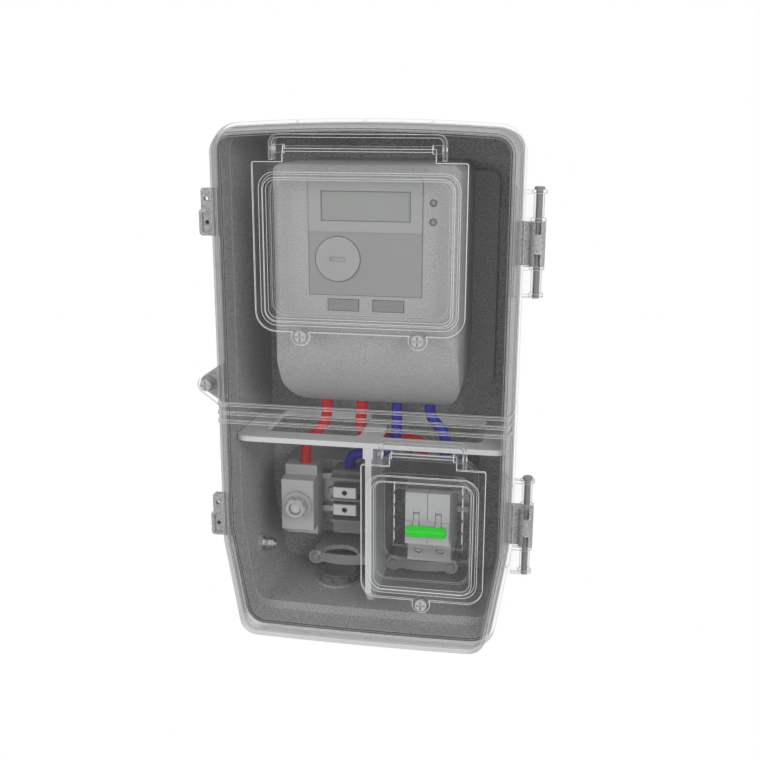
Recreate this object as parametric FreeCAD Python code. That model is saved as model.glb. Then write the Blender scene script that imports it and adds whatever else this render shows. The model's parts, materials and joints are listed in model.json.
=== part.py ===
import FreeCAD, Part
import math
import os

from FreeCAD import Vector as V

os.makedirs("parts", exist_ok=True)

# Wall-mounted electric meter box. Millimetres, +Z up, +X to the right, front towards -Y.
# The origin is the middle of the four wall screws, on the back face (y = 0).
# A depth is a distance from the wall, so a plane at depth d lies at y = -d.

# Outline of the box, seen from the front
BOX_HALF_WIDTH = 115.8
BOX_TOP = 205.6
BOX_BOTTOM = -205.6
TOP_BOW_RADIUS = 1500.0
BOTTOM_BOW_RADIUS = 4000.0
TOP_CORNER_RADIUS = 21.0
BOTTOM_CORNER_RADIUS = 20.0
TAPER_START = -118.0
TAPER_ANGLE = math.radians(9.2)
TAPER_BLEND_RADIUS = 60.0

# Back box
BASE_DEPTH = 108.0
BASE_WALL = 2.4
BACK_WALL = 3.0
BACK_RECESS = 1.0
BACK_EDGE_BEVEL = 3.0
BACK_FIELD_HALF_HEIGHT = 175.0
SIDE_DRAFT = 3.2
FLOOR_RISE = 8.0
RIM_LEDGE_DEPTH = 17.0
RIM_LEDGE_STEP = 1.8
RIM_LIP = 1.2
WALL_SCREW_SPACING_X = 120.0
WALL_SCREW_SPACING_Z = 220.0
WALL_SCREW_RADIUS = 3.2
WALL_BOSS_RADIUS = 8.5
WALL_HEAD_RADIUS = 6.2
WALL_SEAT_DEPTH = 5.0

# Cover
COVER_WALL = 2.4
SKIRT_WALL = 2.2
SKIRT_GAP = 0.4
SKIRT_OVERLAP = 2.8
GASKET_THICK = 2.0
GASKET_WIDTH = 2.0
GASKET_GAP = 0.2
PAN_INSET = 2.9
SHOULDER_INSET = 3.3
FACE_INSET = 6.4
SHOULDER_RISE = 14.0
FACE_RISE = 28.0
FACE_EDGE_DROP = 1.0
FACE_EDGE_INSET = 1.1
CROSS_RIB_HEIGHTS = (-6.0, -13.0, -19.7)
CROSS_RIB_WIDTH = 2.0
CROSS_RIB_PROUD = 0.7
RIM_RIB_WIDTH = 1.6
RIM_RIB_PROUD = 2.0
RIM_RIB_INSET = 0.6
RIM_RIB_PITCH_Z = 67.0
RIM_RIB_PITCH_X = 49.5

# Hinge on the right side
HINGE_STAND_OUT = 9.7
HINGE_PIN_RADIUS = 2.5
HINGE_BARREL_RADIUS = 5.5
HINGE_RUNNING_GAP = 0.05
HINGE_END_GAP = 0.4
HINGE_HEAD_RADIUS = 3.8
HINGE_SLEEVE_RADIUS = 3.9
HINGE_PLATE_THICK = 2.4
HINGE_HEAD_THICK = 2.0
HINGE_ARM_THICK = 6.4
HINGE_WEB_THICK = 3.2
UPPER_HINGE_Z = 118.1
LOWER_HINGE_Z = -100.7
BRACKET_HEIGHT = 32.4
KNUCKLE_HEIGHT = 22.4
BRACKET_POCKET_WIDTH = 4.6
BRACKET_POCKET_HEIGHT = 9.6
BRACKET_POCKET_DEPTH = 3.8

# Fixing lugs on the left side
LUG_STAND_OUT = 14.7
LUG_THICK = 4.5
LUG_BLOCK_THICK = 13.0
LUG_TAB_HEIGHT = 16.0
LUG_BLOCK_HEIGHT = 20.0
LUG_HOLE_RADIUS = 1.7
LUG_EDGE_RADIUS = 2.5
UPPER_LUG_Z = 136.3
LOWER_LUG_Z = -109.5

# Seal ear on the left side of the cover
EAR_Z = 2.0
EAR_STAND_OUT = 11.7
EAR_TIP_RADIUS = 7.0
EAR_ROOT_HALF = 19.0
EAR_WEB_THICK = 8.0
EAR_POST_RADIUS = 5.6
EAR_POST_GAP = 0.5

# Canopies, window flaps and their hinges
FLAP_WALL = 2.4
FLAP_GAP = 0.4
CANOPY_WALL = 2.2
CANOPY_REACH = 9.0
CANOPY_FOOT = 7.5
TRUNNION_RADIUS = 1.5
TRUNNION_RUNNING_GAP = 0.05
TRUNNION_DEPTH_FROM_FACE = 4.0
FLAP_BARREL_RADIUS = 2.2
FLAP_BOSS_RADIUS = 3.2
FLAP_BOSS_LENGTH = 7.0
FLAP_NECK_INSET = 5.0
FLAP_SIDE_GAP = 0.35
FLAP_FRAME_RAISE = 2.5
FLAP_FRAME_MARGIN = 4.2
FLAP_FRAME_TOP_MARGIN = 6.6
FLAP_FRAME_SLOPE = 4.2
FLAP_FRAME_CORNER = 12.0

METER_FLAP_X = 0.0
METER_FLAP_WIDTH = 154.6
METER_FLAP_TOP = 175.7
METER_FLAP_BOTTOM = 53.2
METER_FLAP_CORNER = 15.0
METER_WINDOW_MARGIN = 12.5
METER_WINDOW_CORNER = 10.0
METER_COLLAR_WALL = 1.8
METER_COLLAR_DEPTH = 3.5
METER_CANOPY_WIDTH = 125.0
METER_CANOPY_TOP = 195.0
METER_TRUNNION_Z = 185.0

BREAKER_FLAP_X = 48.6
BREAKER_FLAP_WIDTH = 94.0
BREAKER_FLAP_TOP = -46.9
BREAKER_FLAP_BOTTOM = -154.5
BREAKER_FLAP_CORNER = 13.0
BREAKER_CANOPY_WIDTH = 65.5
BREAKER_CANOPY_TOP = -26.0
BREAKER_TRUNNION_Z = -37.0

WELL_WIDTH = 72.0
WELL_TOP = -56.0
WELL_BOTTOM = -138.5
WELL_CORNER = 10.0
WELL_FLOOR_DEPTH = 97.0
WELL_SLOT_SIDE_GAP = 10.3
WELL_SLOT_TOP_GAP = 0.9
WELL_SLOT_BOTTOM_GAP = 4.3

# Quarter-turn seal screws
SEAL_HEAD_RADIUS = 4.6
SEAL_HEAD_THICK = 2.6
SEAL_HEAD_BEVEL = 0.8
SEAL_SHANK_RADIUS = 2.5
SEAL_RUNNING_GAP = 0.06
SEAL_HOLE_GAP = 0.7
SEAL_SHANK_REACH = 4.6
SEAL_EAR_RADIUS = 6.8
SEAL_BOSS_WALL = 1.8
SEAL_BOSS_DEPTH = 3.6
SEAL_DROP = 3.2
SEAL_SLOT_WIDTH = 1.2
SEAL_SLOT_LENGTH = 7.0
SEAL_SLOT_DEPTH = 1.3
METER_SEAL_SPACING = 87.0

# Divider between meter bay and device bays
SHELF_TOP = -41.7
SHELF_THICK = 4.3
SHELF_FRONT = 102.0
SHELF_REAR_GAP = 0.5
SHELF_SIDE_GAP = 0.6
SHELF_STRIP = 17.0
SHELF_REAR_STRIP = 20.0
SHELF_CORNER = 12.0
SHELF_OPENING_CORNER = 5.0
SHELF_OPENING_MARGIN = 27.8
LEFT_OPENING_END = -10.0
RIGHT_OPENING_END = 7.0
PARTITION_THICK = 5.0
PARTITION_BOTTOM = -183.0
PARTITION_HEAD_WIDTH = 8.0
PARTITION_HEAD_HEIGHT = 9.0
PARTITION_NOTCH_DEPTH = 66.0
PARTITION_NOTCH_BOTTOM = -84.0
PARTITION_TIP = 12.0

# Meter
METER_X = 1.0
METER_WIDTH = 140.0
METER_TOP = 174.0
METER_BOTTOM = -22.0
METER_FRONT = 120.0
METER_ROLL_RADIUS = 76.0
METER_SIDE_CORNER = 30.0
METER_TOP_CORNER = 9.0
METER_EDGE_RADIUS = 7.0
EDGE_FULLNESS = 0.3
ROLL_FULLNESS = 0.385
METER_COVER_SPLIT = 50.0
METER_COVER_WALL = 2.4
METER_COVER_GAP = 0.3
METER_COVER_REAR = 34.0
METER_SEAM = 0.25
PLATFORM_RAISE = 6.0
PLATFORM_MARGIN = 24.8
PLATFORM_TOP = 165.0
PLATFORM_BOTTOM = -15.0
PLATFORM_CORNER = 9.0
BAND_TOP = 136.0
BAND_BOTTOM = 101.5
BAND_RAISE = 2.0
FACEPLATE_WIDTH = 84.0
FACEPLATE_TOP = 164.0
FACEPLATE_BOTTOM = 78.8
FACEPLATE_STEP = 125.4
FACEPLATE_THICK = 1.2
FACEPLATE_LOWER_THICK = 0.6
DISPLAY_WIDTH = 65.3
DISPLAY_TOP = 154.5
DISPLAY_BOTTOM = 133.6
DISPLAY_SUNK = 0.6
PORT_X = -18.8
PORT_Z = 105.4
PORT_RADIUS = 16.6
PORT_THICK = 2.2
PORT_BEVEL = 0.6
PORT_SLOT = (12.0, 3.6)
LAMP_X = 51.2
LAMP_HEIGHTS = (147.2, 133.6)
LAMP_RADIUS = 2.2
LAMP_HEIGHT = 0.9
TAB_CENTRES = (-15.0, 18.9)
TAB_WIDTH = 22.8
TAB_TOP = 75.4
TAB_BOTTOM = 67.2
TAB_THICK = 0.8

# Mounting rails and what snaps on them
RAIL_BACK = 30.0
RAIL_HEIGHT = 35.0
RAIL_CROWN = 27.0
RAIL_RISE = 7.5
RAIL_SHEET = 1.0
RAIL_SCREW_RADIUS = 1.8
DEVICE_OVERLAP = 2.0
DEVICE_RAIL_GAP = 0.2
DEVICE_BAY_Z = -102.5
POLE_PITCH = 17.7
BREAKER_X = 47.95
BREAKER_NOSE_DEPTH = 101.5
BREAKER_SHOULDER_DEPTH = 87.0
BREAKER_NOSE_HALF = 21.9
BREAKER_HALF_HEIGHT = 42.5
BREAKER_SEAM_WIDTH = 0.4
BREAKER_SEAM_DEPTH = 0.4
BREAKER_EDGE_RADIUS = 0.8
LEVER_AXIS_DEPTH = 96.0
LEVER_HUB_RADIUS = 5.2
LEVER_HUB_WIDTH = 4.4
LEVER_GAP = 0.35
LEVER_ARM_THICK = 3.0
LEVER_BAR_WIDTH = 31.0
LEVER_BAR_HEIGHT = 7.6
LEVER_BAR_DEPTH = 6.5
LEVER_TIP_REACH = 18.5
LEVER_TILT = math.radians(30.0)
LEVER_MOUTH_HALF = 8.5
LEVER_MOUTH_DEPTH = 3.0
TERMINAL_SCREW_RADIUS = 3.1
TERMINAL_SCREW_SUNK = 1.0
TERMINAL_SCREW_HEIGHT = 4.0

LEFT_BAY_Z = -110.0
FUSE_X = -65.9
FUSE_WIDTH = 27.4
FUSE_NOSE_DEPTH = 72.0
FUSE_NOSE_HALF = 22.4
FUSE_SHOULDER_DEPTH = 58.0
FUSE_HALF_HEIGHT = 31.0
FUSE_COLLAR_RADIUS = 12.2
FUSE_COLLAR_PROUD = 2.5
FUSE_CAP_RADIUS = 9.0
FUSE_CAP_REACH = 10.0
FUSE_CAP_SUNK = 12.0
FUSE_CAP_BORE = 5.3
FUSE_CAP_BEVEL = 1.2
FUSE_CAP_FLUTES = 6
FUSE_CAP_FLUTE_RADIUS = 2.6
FUSE_RUNNING_GAP = 0.06
CARTRIDGE_RADIUS = 4.95
CARTRIDGE_FRONT = 79.5
CARTRIDGE_BACK = 46.0

NEUTRAL_X = -26.0
NEUTRAL_BAR_WIDTH = 20.0
NEUTRAL_BAR_HEIGHT = 10.0
NEUTRAL_BAR_CENTRES = (-97.3, -112.5)
NEUTRAL_FRONT = 70.0
NEUTRAL_CARRIER_FRONT = 58.0
NEUTRAL_CARRIER_MARGIN = 2.6
NEUTRAL_CARRIER_HALF_HEIGHT = 28.0
NEUTRAL_TOP = -86.5
NEUTRAL_BOTTOM = -124.0
NEUTRAL_SCREW_RADIUS = 2.15

# Pedestals moulded in the back box
PEDESTAL_MARGIN = 7.0
PEDESTAL_TOP_MARGIN = 10.0
PEDESTAL_CORNER = 9.0

# Cable clamps, saddle, conduit entry and earth stud
CLAMP_Z = -175.0
CLAMP_SPACING = 50.7
LEFT_CLAMP_X = -35.6
RIGHT_CLAMP_X = 34.6
CLAMP_DEPTH = 28.0
CLAMP_THICK = 2.4
CLAMP_EYE_RADIUS = 6.65
CLAMP_BAR_HEIGHT = 9.0
CLAMP_BOW = 3.0
CLAMP_POST_RADIUS = 5.2
CLAMP_SCREW_RADIUS = 1.9
CLAMP_HEAD_RADIUS = 3.4
CLAMP_HEAD_THICK = 1.8
SADDLE_Z = -161.0
SADDLE_THICK = 4.0
SADDLE_REACH = 46.0
SADDLE_WIDTH = 46.0
SADDLE_NOTCH_RADIUS = 16.5

CONDUIT_X = -38.0
CONDUIT_DEPTH = 40.0
CONDUIT_BORE = 14.0
CONDUIT_TUBE_RADIUS = 15.6
CONDUIT_HOLE_GAP = 0.3
CONDUIT_PAD_RADIUS = 21.0
CONDUIT_PAD_TOP = -187.4
CONDUIT_PAD_BOTTOM = -195.5
CONDUIT_FLANGE_RADIUS = 19.0
CONDUIT_FLANGE_THICK = 4.0
CONDUIT_TAIL = 14.0
NUT_RADIUS = 18.5
NUT_THICK = 5.5
NUT_NOTCHES = 8
NUT_NOTCH_WIDTH = 4.0
NUT_NOTCH_DEPTH = 1.8
TUBE_ABOVE_NUT = 1.5

EARTH_Z = -152.0
EARTH_DEPTH = 60.0
EARTH_STUD_RADIUS = 2.5
EARTH_STUD_REACH = 12.5
EARTH_PAD_RADIUS = 8.0
EARTH_PAD_INSET = 15.3
EARTH_WASHER_RADIUS = 6.0
EARTH_WASHER_THICK = 1.2
EARTH_NUT_FLATS = 8.0
EARTH_NUT_THICK = 4.0
EARTH_HEAD_THICK = 3.5
EARTH_BORE_GAP = 0.1

# Leads
LEAD_RADIUS = 4.5
LEAD_BORE_GAP = 0.3
LEAD_ENTRY = 8.0
LEAD_DEPTH = 60.0
LEAD_STARTS = (-42.4, -12.9, 16.2, 43.5)
LEAD_SHELF_DROP = 6.0
LEAD_CROSSING_RUN = 13.0

# Planes that follow from the sizes above
HINGE_X = BOX_HALF_WIDTH + HINGE_STAND_OUT
LUG_REACH = BOX_HALF_WIDTH + LUG_STAND_OUT
EAR_X = -BOX_HALF_WIDTH - EAR_STAND_OUT
EARTH_PAD_INNER = EARTH_PAD_INSET - BOX_HALF_WIDTH
EARTH_STUD_INNER = EARTH_PAD_INNER + EARTH_STUD_REACH
PLATFORM_HALF_WIDTH = BOX_HALF_WIDTH - PLATFORM_MARGIN
LEFT_OPENING = (SHELF_OPENING_MARGIN - BOX_HALF_WIDTH, LEFT_OPENING_END)
RIGHT_OPENING = (RIGHT_OPENING_END, BOX_HALF_WIDTH - SHELF_OPENING_MARGIN)
BASE_INSET = SKIRT_WALL + SKIRT_GAP
SEAT_DEPTH = BASE_DEPTH + GASKET_THICK + GASKET_GAP
FLANGE_FRONT = SEAT_DEPTH + COVER_WALL
SKIRT_REAR = BASE_DEPTH - SKIRT_OVERLAP
HINGE_DEPTH = SKIRT_REAR - 0.2
SHOULDER_DEPTH = BASE_DEPTH + SHOULDER_RISE
FACE_DEPTH = BASE_DEPTH + FACE_RISE
PLATFORM_DEPTH = BACK_WALL + PLATFORM_RAISE
RAIL_FRONT = RAIL_BACK + RAIL_RISE
DEVICE_BACK = RAIL_FRONT - DEVICE_OVERLAP
FLAP_BACK = FACE_DEPTH + FLAP_GAP
FLAP_FRONT = FLAP_BACK + FLAP_WALL
TRUNNION_DEPTH = FACE_DEPTH + TRUNNION_DEPTH_FROM_FACE
METER_SEAL_Z = METER_FLAP_BOTTOM - SEAL_DROP
BREAKER_SEAL_Z = BREAKER_FLAP_BOTTOM - SEAL_DROP
NUT_BOTTOM = CONDUIT_PAD_TOP
NUT_TOP = NUT_BOTTOM + NUT_THICK


def box(x0, x1, d0, d1, z0, z1):
    """Box between two x values, two depths and two heights."""
    return Part.makeBox(x1 - x0, d1 - d0, z1 - z0, V(x0, -d1, z0))


def rod_x(x0, x1, depth, z, radius):
    return Part.makeCylinder(radius, x1 - x0, V(x0, -depth, z), V(1, 0, 0))


def rod_y(x, z, d0, d1, radius):
    return Part.makeCylinder(radius, d1 - d0, V(x, -d1, z), V(0, 1, 0))


def rod_z(x, depth, z0, z1, radius):
    return Part.makeCylinder(radius, z1 - z0, V(x, -depth, z0), V(0, 0, 1))


def segment(a, b):
    return Part.LineSegment(a, b).toShape()


def arc(a, middle, b):
    return Part.Arc(a, middle, b).toShape()


def save(node, shape):
    shape.exportStep("parts/%s.step" % node)


def join(shape, *others):
    return shape.fuse(list(others)).removeSplitter()


def rounded_wire(x0, x1, z0, z1, depth, top, bottom):
    """Rectangle seen from the front, with one radius at the top corners and one at the bottom."""
    edges = []
    corners = (
        (V(x1 - top, 0, z1 - top), 90, top),
        (V(x1 - bottom, 0, z0 + bottom), 0, bottom),
        (V(x0 + bottom, 0, z0 + bottom), -90, bottom),
        (V(x0 + top, 0, z1 - top), -180, top),
    )

    def on(centre, angle, radius):
        a = math.radians(angle)
        return V(centre.x + radius * math.cos(a), -depth, centre.z + radius * math.sin(a))

    for index, (centre, start, radius) in enumerate(corners):
        after = corners[(index + 1) % 4]
        if radius > 0:
            edges.append(arc(on(centre, start, radius), on(centre, start - 45, radius),
                             on(centre, start - 90, radius)))
        edges.append(segment(on(centre, start - 90, radius), on(after[0], after[1], after[2])))
    return Part.Wire(edges)


def rounded_block(x0, x1, z0, z1, d0, d1, top, bottom):
    """Block between two depths with a rounded outline."""
    return Part.Face(rounded_wire(x0, x1, z0, z1, d1, top, bottom)).extrude(V(0, d1 - d0, 0))


def outline(depth, inset, lift=0.0):
    """The box's outline at one depth, pulled in evenly by inset, its bottom raised by lift."""
    top_bow = V(0, 0, BOX_TOP - TOP_BOW_RADIUS)
    corner_x = BOX_HALF_WIDTH - TOP_CORNER_RADIUS
    reach = TOP_BOW_RADIUS - TOP_CORNER_RADIUS
    top_corner = V(corner_x, 0, top_bow.z + math.sqrt(reach ** 2 - corner_x ** 2))
    up = (top_corner - top_bow).normalize()

    outward = V(math.cos(TAPER_ANGLE), 0, -math.sin(TAPER_ANGLE))
    along = V(-math.sin(TAPER_ANGLE), 0, -math.cos(TAPER_ANGLE))
    kink = V(BOX_HALF_WIDTH, 0, TAPER_START)
    blend = V(BOX_HALF_WIDTH - TAPER_BLEND_RADIUS, 0,
              TAPER_START + TAPER_BLEND_RADIUS * math.tan(TAPER_ANGLE / 2))
    blend_middle = V(math.cos(TAPER_ANGLE / 2), 0, -math.sin(TAPER_ANGLE / 2))

    bottom_bow = V(0, 0, BOX_BOTTOM + BOTTOM_BOW_RADIUS + lift)
    start = kink - outward * BOTTOM_CORNER_RADIUS - bottom_bow
    reach = BOTTOM_BOW_RADIUS - BOTTOM_CORNER_RADIUS
    slope = start.dot(along)
    run = -slope + math.sqrt(slope ** 2 - start.dot(start) + reach ** 2)
    bottom_corner = bottom_bow + start + along * run
    down = (bottom_corner - bottom_bow).normalize()

    def on(centre, direction, radius):
        point = centre + direction * (radius - inset)
        return V(point.x, -depth, point.z)

    right = V(1, 0, 0)
    turns = (
        (top_corner, up, (up + right).normalize(), right, TOP_CORNER_RADIUS),
        (blend, right, blend_middle, outward, TAPER_BLEND_RADIUS),
        (bottom_corner, outward, (outward + down).normalize(), down, BOTTOM_CORNER_RADIUS),
    )

    def mirror(point):
        return V(-point.x, point.y, point.z)

    side = []
    for centre, first, middle, last, radius in turns:
        side.append([on(centre, first, radius), on(centre, middle, radius), on(centre, last, radius)])
    top = V(0, -depth, BOX_TOP - inset)
    bottom = V(0, -depth, BOX_BOTTOM + lift + inset)
    edges = [arc(mirror(side[0][0]), top, side[0][0])]
    edges += [arc(*side[0]), segment(side[0][2], side[1][0]), arc(*side[1])]
    edges += [segment(side[1][2], side[2][0]), arc(*side[2])]
    edges.append(arc(side[2][2], bottom, mirror(side[2][2])))
    left = [[mirror(point) for point in reversed(turn)] for turn in side]
    edges += [arc(*left[2]), segment(left[2][2], left[1][0]), arc(*left[1])]
    edges += [segment(left[1][2], left[0][0]), arc(*left[0])]
    return Part.Wire(edges)


def plate(depth_rear, depth_front, inset):
    """Straight slice of the box's outline between two depths."""
    face = Part.Face(outline(depth_front, inset))
    return face.extrude(V(0, depth_front - depth_rear, 0))


def drafted(first, second):
    return Part.makeLoft([first, second], True, True)


def base_outer():
    """Drafted block with a floor that steps up behind the rim and a bevelled edge at the wall."""
    step = BASE_DEPTH - RIM_LEDGE_DEPTH - BASE_WALL
    step_share = 1 - step / BASE_DEPTH
    step_inset = BASE_INSET + SIDE_DRAFT * step_share
    bevel_inset = BASE_INSET + SIDE_DRAFT * (1 - BACK_EDGE_BEVEL / BASE_DEPTH)
    rear = outline(BACK_EDGE_BEVEL, bevel_inset, FLOOR_RISE)
    rim = drafted(outline(BASE_DEPTH, BASE_INSET), outline(step, step_inset, FLOOR_RISE * step_share))
    body = drafted(outline(step + 1, step_inset, FLOOR_RISE), rear)
    bevel = drafted(rear, outline(0, BASE_INSET + SIDE_DRAFT + BACK_EDGE_BEVEL, FLOOR_RISE))
    return join(rim, body, bevel)


def base_inner(extra=0.0):
    """Space inside the back box, behind its rim ledge and in front of its back wall."""
    ledge = BASE_DEPTH - RIM_LEDGE_DEPTH
    rim = BASE_INSET + BASE_WALL + extra
    share = RIM_LEDGE_DEPTH / BASE_DEPTH
    step = rim + SIDE_DRAFT * share
    lift = FLOOR_RISE * share
    mouth = drafted(outline(BASE_DEPTH, rim + RIM_LIP), outline(ledge, step + RIM_LIP, lift))
    deep = drafted(outline(ledge, step + RIM_LEDGE_STEP, FLOOR_RISE),
                   outline(BACK_WALL + extra, rim + SIDE_DRAFT + RIM_LEDGE_STEP, FLOOR_RISE))
    return join(mouth, deep)


def wall_screw_places():
    for x in (-WALL_SCREW_SPACING_X / 2, WALL_SCREW_SPACING_X / 2):
        for z in (-WALL_SCREW_SPACING_Z / 2, WALL_SCREW_SPACING_Z / 2):
            yield x, z


def wall_boss_depth(z):
    """The upper screws sink into the meter's platform, the lower ones into the rails' pedestals."""
    return PLATFORM_DEPTH if z > 0 else RAIL_BACK


def clamp_places():
    for centre in (LEFT_CLAMP_X, RIGHT_CLAMP_X):
        for side in (-0.5, 0.5):
            yield centre + side * CLAMP_SPACING


def rail_spans():
    """Left and right rail: their x ends and the height of their middle."""
    left = (FUSE_X - FUSE_WIDTH / 2 - 3, NEUTRAL_X + NEUTRAL_BAR_WIDTH / 2 + 4, LEFT_BAY_Z)
    right = (BREAKER_X - POLE_PITCH - 9, BREAKER_X + POLE_PITCH + 9, DEVICE_BAY_Z)
    return left, right


def rail_screw_places():
    left, right = rail_spans()
    gap_x = (FUSE_X + FUSE_WIDTH / 2 + NEUTRAL_X - NEUTRAL_BAR_WIDTH / 2 - NEUTRAL_CARRIER_MARGIN) / 2
    return ((gap_x, left[2]), (right[0] + 5, right[2]), (right[1] - 5, right[2]))


def pedestal(x0, x1, z0, z1):
    foot = rounded_wire(x0 - 2, x1 + 2, z0 - 2, z1 + 2, BACK_WALL - 0.5, PEDESTAL_CORNER, PEDESTAL_CORNER)
    top = rounded_wire(x0, x1, z0, z1, RAIL_BACK, PEDESTAL_CORNER, PEDESTAL_CORNER)
    hollow_foot = rounded_wire(x0 + 1, x1 - 1, z0 + 1, z1 - 1, -1, PEDESTAL_CORNER, PEDESTAL_CORNER)
    hollow_top = rounded_wire(x0 + 3, x1 - 3, z0 + 3, z1 - 3, RAIL_BACK - 6,
                              PEDESTAL_CORNER - 3, PEDESTAL_CORNER - 3)
    return drafted(foot, top), drafted(hollow_foot, hollow_top)


def hinge_bracket(z):
    """Arm and barrel on the back box between the cover's two knuckles."""
    low = z - BRACKET_HEIGHT / 2 + HINGE_END_GAP
    high = z + BRACKET_HEIGHT / 2 - HINGE_END_GAP
    arm_front = SKIRT_REAR - SKIRT_GAP
    arm = box(BOX_HALF_WIDTH - BASE_INSET - 2, HINGE_X, arm_front - HINGE_ARM_THICK, arm_front, low, high)
    barrel = rod_z(HINGE_X, HINGE_DEPTH, low, high, HINGE_BARREL_RADIUS)
    shape = join(arm, barrel)
    front = HINGE_DEPTH + HINGE_BARREL_RADIUS
    for bottom in (low - 1, high + 1 - BRACKET_POCKET_HEIGHT):
        pocket = box(HINGE_X - BRACKET_POCKET_WIDTH / 2, HINGE_X + BRACKET_POCKET_WIDTH / 2,
                     front - BRACKET_POCKET_DEPTH, front + 1, bottom, bottom + BRACKET_POCKET_HEIGHT)
        shape = shape.cut(pocket)
    return shape.cut(rod_z(HINGE_X, HINGE_DEPTH, low - 1, high + 1, HINGE_PIN_RADIUS))


def fixing_lug(z):
    """Flat tab with a hole above a deeper block with a recess and a hole."""
    front = SKIRT_REAR - SKIRT_GAP
    root = BOX_HALF_WIDTH - BASE_INSET - 3
    low = z - (LUG_TAB_HEIGHT + LUG_BLOCK_HEIGHT) / 2
    middle = low + LUG_BLOCK_HEIGHT
    high = middle + LUG_TAB_HEIGHT
    hole_x = -LUG_REACH + 6
    tab = rounded_block(-LUG_REACH + 2, -root, middle - 3, high, front - LUG_THICK, front, LUG_EDGE_RADIUS, 0)
    block = rounded_block(-LUG_REACH, -root, low, middle, front - LUG_BLOCK_THICK, front,
                          LUG_EDGE_RADIUS, LUG_EDGE_RADIUS)
    recess = box(-LUG_REACH + 2.5, -root - 6, front - 1.2, front + 1, low + 2.5, middle - 2.5)
    shape = join(tab, block).cut(recess)
    for hole_z in (low + LUG_BLOCK_HEIGHT / 2, middle + LUG_TAB_HEIGHT / 2):
        shape = shape.cut(rod_y(hole_x, hole_z, front - LUG_BLOCK_THICK - 1, front + 1, LUG_HOLE_RADIUS))
    return shape


def ear_wire(depth, root_inset):
    """Rounded triangle that stands out of the left side."""
    root = V(root_inset - BOX_HALF_WIDTH, 0, EAR_Z)
    tip = V(EAR_X, 0, EAR_Z)
    corner = V(root.x, 0, EAR_Z + EAR_ROOT_HALF)
    span = corner - tip
    distance = span.Length
    lean = math.atan2(span.z, span.x)
    angle = lean + math.acos(EAR_TIP_RADIUS / distance)
    touch = V(tip.x + EAR_TIP_RADIUS * math.cos(angle), 0, tip.z + EAR_TIP_RADIUS * math.sin(angle))
    upper = [V(corner.x, -depth, corner.z), V(touch.x, -depth, touch.z)]
    lower = [V(p.x, -depth, 2 * EAR_Z - p.z) for p in upper]
    end = V(tip.x - EAR_TIP_RADIUS, -depth, tip.z)
    return Part.Wire([segment(upper[0], upper[1]), arc(upper[1], end, lower[1]),
                      segment(lower[1], lower[0]), segment(lower[0], upper[0])])


def ear(depth_rear, depth_front, root_inset):
    return Part.Face(ear_wire(depth_front, root_inset)).extrude(V(0, depth_front - depth_rear, 0))


def base_ear():
    """The back box's own ear behind the cover's, with a post that stops just under it."""
    front = SKIRT_REAR - SKIRT_GAP
    web = ear(front - EAR_WEB_THICK, front, BASE_INSET + BASE_WALL / 2 + 0.4)
    post = rod_y(EAR_X, EAR_Z, front - 1, SEAT_DEPTH - EAR_POST_GAP, EAR_POST_RADIUS)
    return [web, post]


def earth_wall_x():
    """Outside of the left wall at the earth stud."""
    share = (BASE_DEPTH - EARTH_DEPTH) / BASE_DEPTH
    inset = BASE_INSET + SIDE_DRAFT * share
    return -(BOX_HALF_WIDTH - (TAPER_START - EARTH_Z) * math.tan(TAPER_ANGLE) - inset / math.cos(TAPER_ANGLE))


def saddle():
    """Ledge above the left clamp with a half-round notch for the cable."""
    reach = BACK_WALL - 0.5 + SADDLE_REACH
    plan = box(LEFT_CLAMP_X - SADDLE_WIDTH / 2, LEFT_CLAMP_X + SADDLE_WIDTH / 2, BACK_WALL - 0.5, reach,
               SADDLE_Z - SADDLE_THICK, SADDLE_Z)
    ends = [edge for edge in plan.Edges if abs(edge.BoundBox.YMin + reach) < 0.01
            and edge.BoundBox.ZLength > SADDLE_THICK - 0.01]
    plan = plan.makeFillet(6.0, ends)
    return plan.cut(rod_z(LEFT_CLAMP_X, reach, SADDLE_Z - SADDLE_THICK - 1, SADDLE_Z + 1,
                          SADDLE_NOTCH_RADIUS))


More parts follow.
